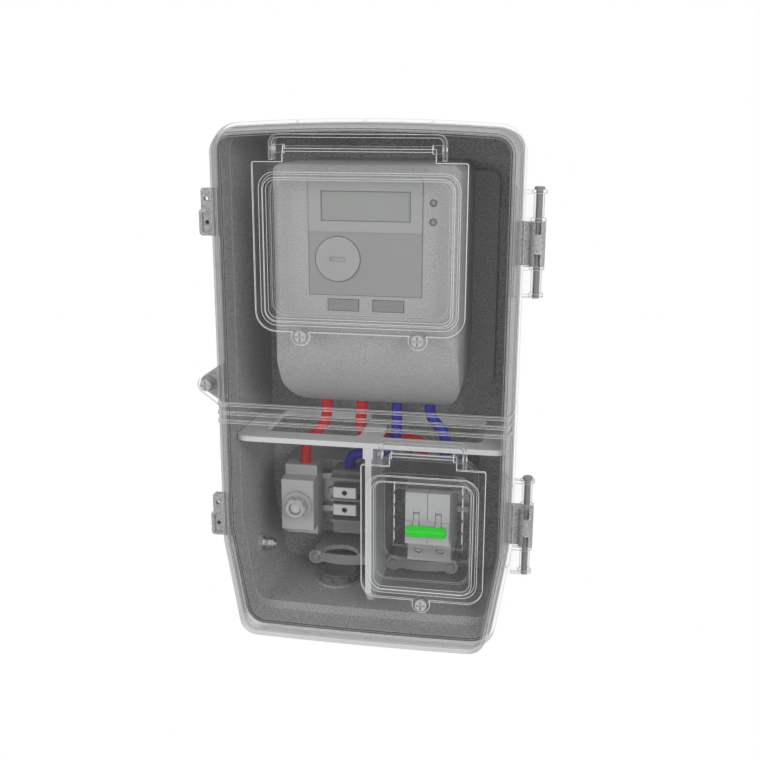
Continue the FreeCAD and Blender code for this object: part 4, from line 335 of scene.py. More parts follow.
def brushed_group():
    """Rolled or turned metal: streaks along one direction in tone and roughness."""
    tree, entry, exit_ = shader_group(
        "drawn_metal",
        [("Colour", "NodeSocketColor", (0.5, 0.5, 0.5, 1.0)),
         ("Stretch", "NodeSocketVector", (40.0, 900.0, 900.0)), ("Streaks", "NodeSocketFloat", 0.18),
         ("Roughness", "NodeSocketFloat", 0.3)],
        [("Colour", "NodeSocketColor"), ("Roughness", "NodeSocketFloat"), ("Height", "NodeSocketFloat")])
    place = node(tree, "ShaderNodeTexCoord", -900, -300)
    stretched = node(tree, "ShaderNodeVectorMath", -700, -200, operation="MULTIPLY")
    link(tree, place.outputs["Object"], stretched.inputs[0])
    link(tree, entry.outputs["Stretch"], stretched.inputs[1])
    streak = node(tree, "ShaderNodeTexNoise", -500, -200)
    streak.inputs["Scale"].default_value = 1.0
    streak.inputs["Detail"].default_value = 3.0
    link(tree, stretched.outputs[0], streak.inputs["Vector"])
    factor = node(tree, "ShaderNodeMath", -300, 0, operation="MULTIPLY_ADD")
    link(tree, streak.outputs["Fac"], factor.inputs[0])
    link(tree, entry.outputs["Streaks"], factor.inputs[1])
    factor.inputs[2].default_value = 0.9
    toned = node(tree, "ShaderNodeVectorMath", 0, 100, operation="SCALE")
    link(tree, entry.outputs["Colour"], toned.inputs[0])
    link(tree, factor.outputs[0], toned.inputs["Scale"])
    rough = node(tree, "ShaderNodeMath", 0, -150, operation="MULTIPLY_ADD")
    link(tree, streak.outputs["Fac"], rough.inputs[0])
    rough.inputs[1].default_value = 0.2
    link(tree, entry.outputs["Roughness"], rough.inputs[2])
    link(tree, toned.outputs[0], exit_.inputs["Colour"])
    link(tree, rough.outputs[0], exit_.inputs["Roughness"])
    link(tree, streak.outputs["Fac"], exit_.inputs["Height"])


def blank_material(name):
    material = bpy.data.materials.new(FINISH_PREFIX + name)
    material.use_nodes = True
    tree = material.node_tree
    tree.nodes.clear()
    shader = node(tree, "ShaderNodeBsdfPrincipled", 300, 0)
    out = node(tree, "ShaderNodeOutputMaterial", 620, 0)
    link(tree, shader.outputs["BSDF"], out.inputs["Surface"])
    return material, tree, shader


def place_group(tree, group, x, y, **values):
    made = node(tree, "ShaderNodeGroup", x, y, node_tree=bpy.data.node_groups[group])
    for key, value in values.items():
        made.inputs[key].default_value = value
    return made


def add_bump(tree, shader, height, strength, distance):
    bump = node(tree, "ShaderNodeBump", 60, -320)
    bump.inputs["Strength"].default_value = strength
    bump.inputs["Distance"].default_value = distance
    link(tree, height, bump.inputs["Height"])
    link(tree, bump.outputs["Normal"], shader.inputs["Normal"])


def plastic(name, colour, roughness=0.42, cloud=0.05, speckle=0.05, scale=1100.0, dust=0.15, bump=0.25,
            coat=0.0, shine=0.5):
    """Opaque moulded plastic."""
    material, tree, shader = blank_material(name)
    grain = place_group(tree, "moulded_grain", -420, 0, Colour=(*colour, 1.0), Cloud=cloud, Speckle=speckle,
                        Scale=scale, Roughness=roughness)
    settled = place_group(tree, "settled_dust", -150, 120, Amount=dust)
    link(tree, grain.outputs["Colour"], settled.inputs["Colour"])
    link(tree, settled.outputs["Colour"], shader.inputs["Base Color"])
    link(tree, grain.outputs["Roughness"], shader.inputs["Roughness"])
    shader.inputs["Coat Weight"].default_value = coat
    shader.inputs["Specular IOR Level"].default_value = shine
    add_bump(tree, shader, grain.outputs["Height"], bump, 0.04 * MM)
    return material


def two_tone_plastic(name, first, second, axis, edge, **looks):
    """Plastic of one colour near the middle plane across an axis, and of another beyond a distance."""
    material = plastic(name, first, **looks)
    tree = material.node_tree
    grain = next(n for n in tree.nodes if n.type == "GROUP" and n.node_tree.name == "moulded_grain")
    place = node(tree, "ShaderNodeTexCoord", -1200, 200)
    split = node(tree, "ShaderNodeSeparateXYZ", -1020, 200)
    reach = node(tree, "ShaderNodeMath", -860, 200, operation="ABSOLUTE")
    beyond = node(tree, "ShaderNodeMapRange", -700, 200)
    beyond.inputs["From Min"].default_value = edge
    beyond.inputs["From Max"].default_value = edge + 0.1 * MM
    mix = node(tree, "ShaderNodeMix", -560, 200, data_type="RGBA")
    mix.inputs["A"].default_value = (*first, 1.0)
    mix.inputs["B"].default_value = (*second, 1.0)
    link(tree, place.outputs["Object"], split.inputs[0])
    link(tree, split.outputs[axis], reach.inputs[0])
    link(tree, reach.outputs[0], beyond.inputs["Value"])
    link(tree, beyond.outputs["Result"], mix.inputs["Factor"])
    link(tree, mix.outputs["Result"], grain.inputs["Colour"])


def clear_plastic(name, colour, roughness, face, edge, inner, shade):
    """Clear polycarbonate: see-through face on, greyer edge on as a painted reflection, and light as a shadow
    caster.
    """
    tree, shader = blank_material(name)[1:]
    grain = place_group(tree, "moulded_grain", -420, 0, Colour=(*colour, 1.0), Cloud=0.02, Speckle=0.02,
                        Scale=500.0, Roughness=roughness, Spread=0.03)
    link(tree, grain.outputs["Colour"], shader.inputs["Base Color"])
    link(tree, grain.outputs["Roughness"], shader.inputs["Roughness"])
    shader.inputs["IOR"].default_value = 1.58
    # Painted reflection: opacity and grey rise as the surface turns edge on
    rim = node(tree, "ShaderNodeLayerWeight", -620, -400)
    rim.inputs["Blend"].default_value = 0.5
    body = node(tree, "ShaderNodeMapRange", -420, -400, interpolation_type="SMOOTHSTEP")
    body.inputs["From Min"].default_value, body.inputs["From Max"].default_value = CLEAR_TO_REFLECTION_GREY
    body.inputs["To Min"].default_value = face
    place = node(tree, "ShaderNodeTexCoord", -1400, -1000)
    reach = node(tree, "ShaderNodeSeparateXYZ", -1200, -1000)
    link(tree, place.outputs["Object"], reach.inputs["Vector"])
    inside = None
    for row, (axis, reach_limit) in enumerate(INNER_WALLS):
        size = node(tree, "ShaderNodeMath", -1000, -900 - 180 * row, operation="ABSOLUTE")
        within = node(tree, "ShaderNodeMath", -820, -900 - 180 * row, operation="LESS_THAN")
        within.inputs[1].default_value = reach_limit
        link(tree, reach.outputs[axis], size.inputs[0])
        link(tree, size.outputs["Value"], within.inputs[0])
        if inside is None:
            inside = within
            continue
        both = node(tree, "ShaderNodeMath", -640, -900 - 180 * row, operation="MULTIPLY")
        link(tree, inside.outputs["Value"], both.inputs[0])
        link(tree, within.outputs["Value"], both.inputs[1])
        inside = both
    limit = node(tree, "ShaderNodeMapRange", -640, -700)
    limit.inputs["To Min"].default_value = edge
    limit.inputs["To Max"].default_value = inner
    link(tree, inside.outputs["Value"], limit.inputs["Value"])
    link(tree, limit.outputs["Result"], body.inputs["To Max"])
    rays = node(tree, "ShaderNodeLightPath", -420, -700)
    opacity = node(tree, "ShaderNodeMix", -120, -400, data_type="FLOAT")
    opacity.inputs["B"].default_value = shade
    link(tree, rim.outputs["Facing"], body.inputs["Value"])
    link(tree, rays.outputs["Is Shadow Ray"], opacity.inputs["Factor"])
    link(tree, body.outputs["Result"], opacity.inputs["A"])
    link(tree, opacity.outputs["Result"], shader.inputs["Alpha"])


def metal(name, colour, roughness=0.3, stretch=(60.0, 900.0, 900.0), streaks=0.18):
    """Plated steel or brass."""
    tree, shader = blank_material(name)[1:]
    drawn = place_group(tree, "drawn_metal", -420, 0, Colour=(*colour, 1.0), Stretch=stretch, Streaks=streaks,
                        Roughness=roughness)
    link(tree, drawn.outputs["Colour"], shader.inputs["Base Color"])
    link(tree, drawn.outputs["Roughness"], shader.inputs["Roughness"])
    shader.inputs["Metallic"].default_value = 0.9
    add_bump(tree, shader, drawn.outputs["Height"], 0.15, 0.03 * MM)


def make_finishes():
    """One material for each finish, made once and shared by the pieces."""
    c = colours()
    s = sizes()
    grain_group()
    dust_group()
    brushed_group()
    plastic("box_plastic", tuple(c.box), roughness=0.5, cloud=0.06, speckle=1.0, scale=780.0)
    clear_plastic("clear_plastic", tuple(c.clear), 0.06, s.clear_face, s.clear_edge_reflection, s.clear_inner,
                  s.clear_shade)
    plastic("gasket_rubber", tuple(c.rubber), roughness=0.8, bump=0.5, scale=600.0)
    plastic("pin_plastic", tuple(c.pin), roughness=0.4)
    plastic("divider_plastic", tuple(c.divider), roughness=0.4, speckle=0.12, dust=0.1)
    plastic("meter_plastic", tuple(c.meter), roughness=0.5, speckle=0.5, scale=850.0, bump=0.4)
    two_tone_plastic("label_plastic", tuple(c.label), tuple(c.frame), "Z", FACEPLATE_STEP_HEIGHT,
                     roughness=0.35)
    plastic("tab_plastic", tuple(c.tab), roughness=0.4, speckle=0.12)
    # Painted shadow in the gaps round the meter's faceplate, display, port, lamps and tabs
    plastic("groove_shadow", tuple(c.painted_shadow_line), roughness=0.6, dust=0.0)
    plastic("display_glass", tuple(c.display), roughness=0.18, speckle=0.02, coat=0.4)
    plastic("port_plastic", tuple(c.port), roughness=0.4)
    plastic("lamp_plastic", tuple(c.lamp), roughness=0.15, coat=0.5, dust=0.0)
    metal("rail_steel", tuple(c.steel), 0.35)
    metal("screw_steel", tuple(c.steel), 0.28, stretch=(700.0, 700.0, 700.0))
    # Painted shade: near-black screws standing for the shade in the neutral terminals' holes
    metal("sunk_screw", (0.05, 0.05, 0.052), 0.5, stretch=(700.0, 700.0, 700.0))
    plastic("seal_screw_plastic", tuple(c.seal), roughness=0.2, cloud=0.1, speckle=0.1, dust=0.0, coat=0.6)
    # Painted highlight on the clear pieces' edge beads, also used for the score marks
    plastic("frosted_edge", tuple(c.edge), roughness=0.3, dust=0.0)
    plastic("breaker_plastic", tuple(c.breaker), roughness=0.42)
    two_tone_plastic("lever_plastic", tuple(c.breaker), tuple(c.lever), "Y", LEVER_BAR_BACK, roughness=0.5,
                     cloud=0.03, dust=0.0, shine=0.2)
    plastic("fuse_plastic", tuple(c.fuse), roughness=0.32)
    plastic("cartridge_ceramic", tuple(c.ceramic), roughness=0.2, bump=0.05)
    plastic("carrier_plastic", tuple(c.carrier), roughness=0.45)
    metal("terminal_metal", tuple(c.terminal), 0.32)
    plastic("strap_plastic", tuple(c.strap), roughness=0.45, bump=0.35)
    plastic("conduit_plastic", tuple(c.conduit), roughness=0.45)
    plastic("lead_red", tuple(c.red), roughness=0.45, cloud=0.04, speckle=0.06, dust=0.0, shine=0.2)
    plastic("lead_blue", tuple(c.blue), roughness=0.45, cloud=0.04, speckle=0.06, dust=0.0, shine=0.2)


def node_tree(name, inputs):
    """Geometry node tree with a geometry output and the named inputs."""
    tree = bpy.data.node_groups.new(name, "GeometryNodeTree")
    for label, kind in inputs:
        tree.interface.new_socket(name=label, in_out="INPUT", socket_type=kind)
    tree.interface.new_socket(name="Geometry", in_out="OUTPUT", socket_type="NodeSocketGeometry")
    return tree, node(tree, "NodeGroupInput", -900, 0), node(tree, "NodeGroupOutput", 700, 0)


def end_tree(tree, entry, exit_, geometry):
    realized = node(tree, "GeometryNodeRealizeInstances", 300, 0)
    finish = node(tree, "GeometryNodeSetMaterial", 500, 0)
    link(tree, geometry, realized.inputs["Geometry"])
    link(tree, realized.outputs["Geometry"], finish.inputs["Geometry"])
    link(tree, entry.outputs["Material"], finish.inputs["Material"])
    link(tree, finish.outputs["Geometry"], exit_.inputs["Geometry"])


def shadow_line_tree():
    """Narrow strip of square section along every edge line of the given mesh."""
    tree, entry, exit_ = node_tree("groove_strips", [
        ("Lines", "NodeSocketGeometry"), ("Width", "NodeSocketFloat"), ("Material", "NodeSocketMaterial")])
    path = node(tree, "GeometryNodeMeshToCurve", -600, 100)
    section = node(tree, "GeometryNodeCurvePrimitiveQuadrilateral", -600, -150)
    sweep = node(tree, "GeometryNodeCurveToMesh", -300, 0)
    link(tree, entry.outputs["Lines"], path.inputs["Mesh"])
    link(tree, entry.outputs["Width"], section.inputs["Width"])
    link(tree, entry.outputs["Width"], section.inputs["Height"])
    link(tree, path.outputs["Curve"], sweep.inputs["Curve"])
    link(tree, section.outputs["Curve"], sweep.inputs["Profile Curve"])
    sweep.inputs["Fill Caps"].default_value = True
    end_tree(tree, entry, exit_, sweep.outputs["Mesh"])
    return tree


def score_tree():
    """Row of short round-backed marks at one pitch from each point of the given mesh upwards."""
    tree, entry, exit_ = node_tree("score_marks", [
        ("Starts", "NodeSocketGeometry"), ("Count", "NodeSocketInt"), ("Pitch", "NodeSocketFloat"),
        ("Length", "NodeSocketFloat"), ("Radius", "NodeSocketFloat"), ("Material", "NodeSocketMaterial")])
    step = node(tree, "ShaderNodeCombineXYZ", -700, -200)
    row = node(tree, "GeometryNodeMeshLine", -500, -100, mode="OFFSET")
    mark = node(tree, "GeometryNodeMeshCylinder", -500, -350)
    mark.inputs["Vertices"].default_value = 12
    marks = node(tree, "GeometryNodeInstanceOnPoints", -250, -150)
    rows = node(tree, "GeometryNodeInstanceOnPoints", 0, 0)
    link(tree, entry.outputs["Pitch"], step.inputs["Z"])
    link(tree, entry.outputs["Count"], row.inputs["Count"])
    link(tree, step.outputs[0], row.inputs["Offset"])
    link(tree, entry.outputs["Radius"], mark.inputs["Radius"])
    link(tree, entry.outputs["Length"], mark.inputs["Depth"])
    link(tree, row.outputs["Mesh"], marks.inputs["Points"])
    link(tree, mark.outputs["Mesh"], marks.inputs["Instance"])
    link(tree, entry.outputs["Starts"], rows.inputs["Points"])
    link(tree, marks.outputs["Instances"], rows.inputs["Instance"])
    end_tree(tree, entry, exit_, rows.outputs["Instances"])
    return tree


def highlight_bead_tree():
    """Thin round bead along every crease of a shell that is sharper than an angle."""
    tree, entry, exit_ = node_tree("edge_beads", [
        ("Shell", "NodeSocketGeometry"), ("Crease", "NodeSocketFloat"), ("Radius", "NodeSocketFloat"),
        ("Material", "NodeSocketMaterial")])
    angle = node(tree, "GeometryNodeInputMeshEdgeAngle", -900, -300)
    sharp = node(tree, "FunctionNodeCompare", -700, -200, data_type="FLOAT", operation="GREATER_THAN")
    path = node(tree, "GeometryNodeMeshToCurve", -450, 100)
    section = node(tree, "GeometryNodeCurvePrimitiveCircle", -450, -150, mode="RADIUS")
    section.inputs["Resolution"].default_value = 4
    sweep = node(tree, "GeometryNodeCurveToMesh", -150, 0)
    link(tree, angle.outputs["Unsigned Angle"], sharp.inputs[0])
    link(tree, entry.outputs["Crease"], sharp.inputs[1])
    link(tree, entry.outputs["Shell"], path.inputs["Mesh"])
    link(tree, sharp.outputs["Result"], path.inputs["Selection"])
    link(tree, entry.outputs["Radius"], section.inputs["Radius"])
    link(tree, path.outputs["Curve"], sweep.inputs["Curve"])
    link(tree, section.outputs["Curve"], sweep.inputs["Profile Curve"])
    sweep.inputs["Fill Caps"].default_value = True
    end_tree(tree, entry, exit_, sweep.outputs["Mesh"])
    return tree


def guide_lines(name, verts, edges):
    guide = bpy.data.meshes.new(name + "_guide")
    guide.from_pydata(verts, edges, [])
    return guide


def grown(name, guide, tree, values, carrier):
    """Run a geometry node tree on a guide mesh and keep its result as a plain piece."""
    piece = bpy.data.objects.new(name, guide)
    bpy.context.scene.collection.objects.link(piece)
    modifier = piece.modifiers.new("build", "NODES")
    modifier.node_group = tree
    for item in tree.interface.items_tree:
        if item.in_out == "INPUT" and item.name in values:
            modifier[item.identifier] = values[item.name]
    evaluated = piece.evaluated_get(bpy.context.evaluated_depsgraph_get())
    mesh = bpy.data.meshes.new_from_object(evaluated)
    piece.modifiers.remove(modifier)
    piece.data = mesh
    mesh.name = name
    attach(piece, frame["nodes"][carrier]["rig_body"])


def rectangle(x0, x1, z0, z1, y):
    """Closed ring of points on a rectangle seen from the front."""
    return [(x0, y, z0), (x1, y, z0), (x1, y, z1), (x0, y, z1)]


def ring_round(x, z, radius, y, count=48):
    turns = [2 * math.pi * i / count for i in range(count)]
    return [(x + radius * math.cos(turn), y, z + radius * math.sin(turn)) for turn in turns]


def closed_lines(rings):
    """Points and edges of all the rings together."""
    verts, edges = [], []
    for ring in rings:
        first = len(verts)
        verts += ring
        edges += [(first + i, first + (i + 1) % len(ring)) for i in range(len(ring))]
    return verts, edges


def around(name, y, grow):
    """Ring round the front outline of a CAD piece."""
    low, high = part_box(name)
    return rectangle(low[0] - grow, high[0] + grow, low[2] - grow, high[2] + grow, y)


def node_slots():
    """Which finish each CAD piece takes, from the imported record."""
    return {part["node"]: part["material_slot"] for part in frame["record"]["subparts"]}


def outward(mesh):
    """Turn every face of a closed mesh outwards."""
    bm = bmesh.new()
    bm.from_mesh(mesh)
    bmesh.ops.recalc_face_normals(bm, faces=bm.faces)
    bm.to_mesh(mesh)
    bm.free()


def prisms(name, rows):
    """Closed prisms in one mesh; a row is an outline, a start, an end, and the axis they run along."""
    verts, faces = [], []
    for outline, low, high, axis in rows:
        first, count = len(verts), len(outline)
        for end in (low, high):
            verts += [tuple(point[:axis]) + (end,) + tuple(point[axis:]) for point in outline]
        faces.append([first + i for i in reversed(range(count))])
        faces.append([first + count + i for i in range(count)])
        for i in range(count):
            j = (i + 1) % count
            faces.append([first + i, first + j, first + count + j, first + count + i])
    mesh = bpy.data.meshes.new(name)
    mesh.from_pydata(verts, [], faces)
    outward(mesh)
    return mesh


def rib_backs():
    """Space behind the cover's three cross ribs, down to the inner side of its pan."""
    ring = PAN_INSIDE + tuple((-x, y) for x, y in reversed(PAN_INSIDE))
    rows = [(ring, z - RIB_HALF, z + RIB_HALF, 2) for z in RIB_HEIGHTS]
    return bpy.data.objects.new("rib_backs", prisms("rib_backs", rows))


def cleared(mesh, cutter):
    """The mesh without the cutter's space."""
    body = bpy.data.objects.new("clearing", mesh)
    for item in (body, cutter):
        bpy.context.scene.collection.objects.link(item)
    cut = body.modifiers.new("clear", "BOOLEAN")
    cut.operation = "DIFFERENCE"
    cut.solver = "EXACT"
    cut.object = cutter
    evaluated = body.evaluated_get(bpy.context.evaluated_depsgraph_get())
    result = bpy.data.meshes.new_from_object(evaluated)
    for item in (body, cutter):
        bpy.data.objects.remove(item)
    return result


def merge(mesh):
    bm = bmesh.new()
    bm.from_mesh(mesh)
    bmesh.ops.remove_doubles(bm, verts=bm.verts, dist=MERGE_DISTANCE)
    bmesh.ops.dissolve_degenerate(bm, edges=bm.edges, dist=MERGE_DISTANCE / 2)
    bm.to_mesh(mesh)
    bm.free()


def smooth_skin(name, material, crease):
    """Merged copy of a CAD piece with smooth faces between its creases; it stands for the piece."""
    source = frame["nodes"][name]
    mesh = source.data.copy()
    merge(mesh)
    if name == "cover_shell":
        mesh = cleared(mesh, rib_backs())
        merge(mesh)
    mesh.name = name + "_skin"
    for attribute in ("custom_normal", "sharp_face", "sharp_edge"):
        found = mesh.attributes.get(attribute)
        if found:
            mesh.attributes.remove(found)
    mesh.shade_smooth()
    mesh.set_sharp_from_angle(angle=math.radians(crease))
    mesh.materials.clear()
    mesh.materials.append(material)
    skin = bpy.data.objects.new(name + "_skin", mesh)
    bpy.context.scene.collection.objects.link(skin)
    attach(skin, source["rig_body"])
    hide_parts(name)


CLEAR_PIECES = ("cover_shell", "meter_flap", "breaker_flap")
BOX_PIECES = ("base_shell", "rim_gasket", "divider", "hinge_pin_upper", "hinge_pin_lower")
METER_PIECES = ("meter_case", "meter_terminal_cover", "meter_faceplate", "meter_display", "meter_port",
                "meter_lamps", "meter_tabs")
SEAL_PIECES = ("meter_seal_screw_left", "meter_seal_screw_right", "breaker_seal_screw", "cover_seal_screw")
LEAD_PIECES = ("lead_red_fuse", "lead_red_breaker", "lead_blue_neutral", "lead_blue_breaker")
CABLE_PIECES = ("clamp_strap_left", "clamp_strap_right", "clamp_screws", "conduit_bushing", "conduit_nut",
                "earth_stud", "earth_nuts")
DEVICE_PIECES = ("rail_left", "rail_right", "rail_screws", "breaker_body", "breaker_screws", "breaker_lever",
                 "fuse_base", "fuse_cap", "fuse_cartridge", "neutral_carrier", "neutral_bars",
                 "neutral_screws")

# Pieces whose finish differs from that of their slot in the record; the neutral screws' near-black is painted
# shade for their deep holes
OWN_FINISH = {"meter_tabs": "tab_plastic", "neutral_screws": "sunk_screw"}


def dress(names):
    slots = node_slots()
    for name in names:
        smooth_skin(name, bpy.data.materials[FINISH_PREFIX + OWN_FINISH.get(name, slots[name])],
                    CLEAR_CREASE if name in CLEAR_PIECES else CREASE)


def add_breaker_cowl():
    """Raised band round the foot of the lever's arms and the lips that close the ends of its slots."""
    low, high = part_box("breaker_body")
    nose, middle = low[1], (low[0] + high[0]) / 2
    bay = (low[2] + high[2]) / 2
    half = (high[0] - low[0]) / 2 - BAND_SIDE_INSET
    pole = (high[0] - low[0]) / 4
    rows = []
    for x in (middle - pole, middle + pole):
        for side in (-1, 1):
            end = bay + side * SLOT_END
            lip = [(nose + LIP_TOP_INSET, end), (nose + LIP_TOP_INSET, bay + side * LIP_START),
                   (nose + LIP_DEPTH, bay + side * LIP_FOOT), (nose + LIP_DEPTH, end)]
            rows.append((lip, x - SLOT_HALF, x + SLOT_HALF, 0))
    top, foot, notch = bay - BAND_TOP, bay - BAND_FOOT, bay - BAND_NOTCH
    reach = SLOT_HALF + BAND_NOTCH_GAP
    band = [(middle - half, foot), (middle + half, foot), (middle + half, top)]
    for x in (middle + pole, middle - pole):
        band += [(x + reach, top), (x + reach, notch), (x - reach, notch), (x - reach, top)]
    band.append((middle - half, top))
    rows.append((band, nose - BAND_PROUD, nose + BAND_SEAT, 1))
    mesh = prisms("breaker_cowl", rows)
    mesh.materials.append(bpy.data.materials[FINISH_PREFIX + node_slots()["breaker_body"]])
    piece = bpy.data.objects.new("breaker_cowl", mesh)
    bpy.context.scene.collection.objects.link(piece)
    edges = piece.modifiers.new("edges", "BEVEL")
    edges.width = BAND_EDGE
    edges.segments = 2
    edges.limit_method = "ANGLE"
    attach(piece, frame["nodes"]["breaker_body"]["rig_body"])


def lamp_heights():
    low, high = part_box("meter_lamps")
    radius = (high[0] - low[0]) / 2
    return low[2] + radius, high[2] - radius


def add_shadow_lines():
    """Dark strips round the meter's faceplate, display, port, lamps and tabs, a painted shadow for the gaps
    between these parts.
    """
    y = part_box("meter_faceplate")[0][1]
    rings = [around("meter_display", y, SHADOW_LINE_CLEARANCE),
             around("meter_faceplate", y + 0.9 * MM, SHADOW_LINE_CLEARANCE / 2)]
    low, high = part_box("meter_port")
    port_x, port_z = (low[0] + high[0]) / 2, (low[2] + high[2]) / 2
    rings.append(ring_round(port_x, port_z, (high[0] - low[0]) / 2 + SHADOW_LINE_CLEARANCE, y + 0.6 * MM))
    low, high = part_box("meter_tabs")
    tab = sizes().tab_width
    for x0, x1 in ((low[0], low[0] + tab), (high[0] - tab, high[0])):
        rings.append(rectangle(x0 - SHADOW_LINE_CLEARANCE, x1 + SHADOW_LINE_CLEARANCE, low[2] - SHADOW_LINE_CLEARANCE,
                               high[2] + SHADOW_LINE_CLEARANCE, low[1] + 0.5 * MM))
    low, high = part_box("meter_lamps")
    for lamp_z in lamp_heights():
        rings.append(ring_round((low[0] + high[0]) / 2, lamp_z, LAMP_SHADOW_LINE_RADIUS, high[1], 24))
    verts, edges = closed_lines(rings)
    grown("meter_grooves", guide_lines("meter_grooves", verts, edges), shadow_line_tree(),
          {"Width": sizes().shadow_line_width, "Material": bpy.data.materials[FINISH_PREFIX + "groove_shadow"]},
          "meter_faceplate")


def add_highlight_beads():
    """Pale beads on the clear pieces' creases, a painted highlight where their rounded mould edges catch the
    light.
    """
    tree = highlight_bead_tree()
    for name in CLEAR_PIECES:
        guide = bpy.data.objects[name + "_skin"].data.copy()
        share = COVER_HIGHLIGHT_BEAD_SHARE if name == "cover_shell" else 1.0
        grown(name + "_edges", guide, tree,
              {"Crease": math.radians(CLEAR_CREASE), "Radius": sizes().highlight_bead_radius * share,
               "Material": bpy.data.materials[FINISH_PREFIX + "frosted_edge"]}, name)


def add_score_marks():
    """Score marks on the breaker well's floor, beside its slot, white with the same painted highlight as the
    edge beads.
    """
    s = sizes()
    low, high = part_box("breaker_body")
    starts = [(x, -SCORE_DEPTH, SCORE_START) for x in (low[0] - SCORE_SIDE_GAP, high[0] + SCORE_SIDE_GAP)]
    grown("well_score_marks", guide_lines("well_score_marks", starts, []), score_tree(),
          {"Count": s.score_count, "Pitch": s.score_pitch, "Length": s.score_length, "Radius": SCORE_RADIUS,
           "Material": bpy.data.materials[FINISH_PREFIX + "frosted_edge"]}, "cover_shell")


class METERBOX_OT_finishes(bpy.types.Operator):
    """Make the materials of every finish"""

    bl_idname = "meterbox.finishes"
    bl_label = "Finishes"

    def execute(self, context):
        make_finishes()
        return {"FINISHED"}


class METERBOX_OT_box(bpy.types.Operator):
    """Dress the back box, its gasket, hinge pins and divider"""

    bl_idname = "meterbox.box"
    bl_label = "Back box"

    def execute(self, context):
        dress(BOX_PIECES)
        return {"FINISHED"}


class METERBOX_OT_cover(bpy.types.Operator):
    """Dress the clear cover, its flaps and the seal screws"""

    bl_idname = "meterbox.cover"
    bl_label = "Clear cover"

    def execute(self, context):
        dress(CLEAR_PIECES + SEAL_PIECES)
        add_highlight_beads()
        add_score_marks()
        return {"FINISHED"}


class METERBOX_OT_meter(bpy.types.Operator):
    """Dress the meter"""

    bl_idname = "meterbox.meter"
    bl_label = "Meter"

    def execute(self, context):
        dress(METER_PIECES)
        add_shadow_lines()
        return {"FINISHED"}


class METERBOX_OT_devices(bpy.types.Operator):
    """Dress the rails, fuse, neutral terminals and breaker"""

    bl_idname = "meterbox.devices"
    bl_label = "Rail devices"

    def execute(self, context):
        dress(DEVICE_PIECES)
        add_breaker_cowl()
        return {"FINISHED"}


class METERBOX_OT_cables(bpy.types.Operator):
    """Dress the leads, clamps, conduit fitting and earth stud"""

    bl_idname = "meterbox.cables"
    bl_label = "Leads and clamps"

    def execute(self, context):
        dress(LEAD_PIECES + CABLE_PIECES)
        return {"FINISHED"}


def seen_rays(tree, x, y):
    """1 for what the camera sees itself, in a reflection or through clear plastic, else 0."""
    rays = node(tree, "ShaderNodeLightPath", x, y)
    either = node(tree, "ShaderNodeMath", x + 200, y, operation="MAXIMUM")
    any_ray = node(tree, "ShaderNodeMath", x + 380, y, operation="MAXIMUM")
    link(tree, rays.outputs["Is Camera Ray"], either.inputs[0])
    link(tree, rays.outputs["Is Glossy Ray"], either.inputs[1])
    link(tree, either.outputs[0], any_ray.inputs[0])
    link(tree, rays.outputs["Is Transmission Ray"], any_ray.inputs[1])
    return any_ray.outputs[0]


def backdrop_material():
    """White for the camera, for reflections and through clear plastic; pale as a light."""
    material, tree, shader = blank_material("studio_floor")
    shader.inputs["Base Color"].default_value = (0.8, 0.8, 0.8, 1.0)
    shader.inputs["Roughness"].default_value = 0.9
    glow = node(tree, "ShaderNodeEmission", 300, -260)
    glow.inputs["Color"].default_value = (1.0, 1.0, 1.0, 1.0)
    mix = node(tree, "ShaderNodeMixShader", 480, 0)
    out = next(n for n in tree.nodes if n.type == "OUTPUT_MATERIAL")
    link(tree, seen_rays(tree, 0, 400), mix.inputs[0])
    link(tree, shader.outputs["BSDF"], mix.inputs[1])
    link(tree, glow.outputs[0], mix.inputs[2])
    link(tree, mix.outputs[0], out.inputs["Surface"])
    return material


def area_light(name, place, size, power):
    """Square light that faces the origin."""
    data = bpy.data.lights.new(name, "AREA")
    data.shape = "SQUARE"
    data.size = size
    data.energy = power
    lamp = bpy.data.objects.new(name, data)
    aim = -Vector(place)
    lamp.matrix_world = Matrix.Translation(place) @ aim.to_track_quat("-Z", "Y").to_matrix().to_4x4()
    bpy.context.scene.collection.objects.link(lamp)


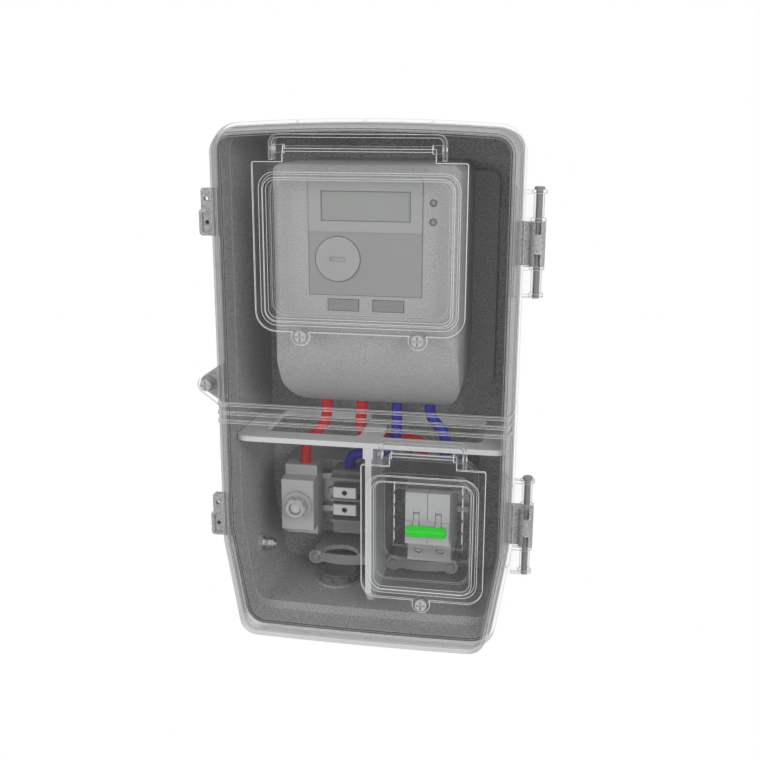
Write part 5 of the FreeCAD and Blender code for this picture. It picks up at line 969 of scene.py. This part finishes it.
class METERBOX_OT_stage(bpy.types.Operator):
    """Set the floor, the surround, the lights and the camera"""

    bl_idname = "meterbox.stage"
    bl_label = "Stage"

    def execute(self, context):
        scene = context.scene
        lights = scene.meter_box_lights
        mesh = bpy.data.meshes.new("studio_floor")
        corners = [(-1, -1), (1, -1), (1, 1), (-1, 1)]
        mesh.from_pydata([(x * FLOOR_REACH, y * FLOOR_REACH, FLOOR_HEIGHT) for x, y in corners], [],
                         [(0, 1, 2, 3)])
        mesh.materials.append(backdrop_material())
        floor = bpy.data.objects.new("studio_floor", mesh)
        scene.collection.objects.link(floor)

        world = bpy.data.worlds.new("studio_surround")
        scene.world = world
        world.use_nodes = True
        tree = world.node_tree
        tree.nodes.clear()
        strength = node(tree, "ShaderNodeMapRange", -140, 0)
        strength.inputs["To Min"].default_value = lights.sky
        strength.inputs["To Max"].default_value = 1.0
        shine = node(tree, "ShaderNodeBackground", 60, 0)
        shine.inputs["Color"].default_value = (1.0, 1.0, 1.0, 1.0)
        out = node(tree, "ShaderNodeOutputWorld", 260, 0)
        link(tree, seen_rays(tree, -700, 0), strength.inputs["Value"])
        link(tree, strength.outputs["Result"], shine.inputs["Strength"])
        link(tree, shine.outputs[0], out.inputs["Surface"])

        area_light("key_light", (1.4, -1.8, 0.9), LIGHT_SIZE, lights.key)
        area_light("fill_light", (-1.4, -1.8, 0.6), LIGHT_SIZE, lights.fill)

        scene.view_settings.view_transform = "Standard"
        lens = bpy.data.cameras.new("photo_camera")
        lens.sensor_width = SENSOR
        lens.lens = FOCAL_PIXELS / IMAGE_SIZE * SENSOR
        lens.clip_start = 0.01
        camera = bpy.data.objects.new("photo_camera", lens)
        right, up = Vector(CAMERA_RIGHT), Vector(CAMERA_UP)
        back = right.cross(up)
        turn = Matrix((right, up, back)).transposed().to_4x4()
        camera.matrix_world = Matrix.Translation(CAMERA_PLACE) @ turn
        scene.collection.objects.link(camera)
        scene.camera = camera
        return {"FINISHED"}


class METERBOX_PT_panel(bpy.types.Panel):
    """Sizes, colours and steps of the meter box"""

    bl_idname = "METERBOX_PT_panel"
    bl_label = "Electric Meter Box"
    bl_space_type = "VIEW_3D"
    bl_region_type = "UI"
    bl_category = "Meter Box"

    def draw(self, context):
        scene = context.scene
        for group in (scene.meter_box_colours, scene.meter_box_sizes, scene.meter_box_lights):
            section = self.layout.box()
            for key in group.__annotations__:
                section.prop(group, key)
        steps = self.layout.column()
        for operator in OPERATORS:
            steps.operator(operator.bl_idname)


GROUPS = (MeterBoxColours, MeterBoxSizes, MeterBoxLights)
OPERATORS = (METERBOX_OT_finishes, METERBOX_OT_box, METERBOX_OT_cover, METERBOX_OT_meter, METERBOX_OT_devices,
             METERBOX_OT_cables, METERBOX_OT_stage)


def register():
    for item in GROUPS + OPERATORS + (METERBOX_PT_panel,):
        bpy.utils.register_class(item)
    bpy.types.Scene.meter_box_colours = PointerProperty(type=MeterBoxColours)
    bpy.types.Scene.meter_box_sizes = PointerProperty(type=MeterBoxSizes)
    bpy.types.Scene.meter_box_lights = PointerProperty(type=MeterBoxLights)


def unregister():
    del bpy.types.Scene.meter_box_lights
    del bpy.types.Scene.meter_box_sizes
    del bpy.types.Scene.meter_box_colours
    for item in reversed(GROUPS + OPERATORS + (METERBOX_PT_panel,)):
        bpy.utils.unregister_class(item)


def main():
    register()
    bpy.ops.meterbox.finishes()
    bpy.ops.meterbox.box()
    bpy.ops.meterbox.cover()
    bpy.ops.meterbox.meter()
    bpy.ops.meterbox.devices()
    bpy.ops.meterbox.cables()
    bpy.ops.meterbox.stage()


if __name__ == "__main__":
    main()
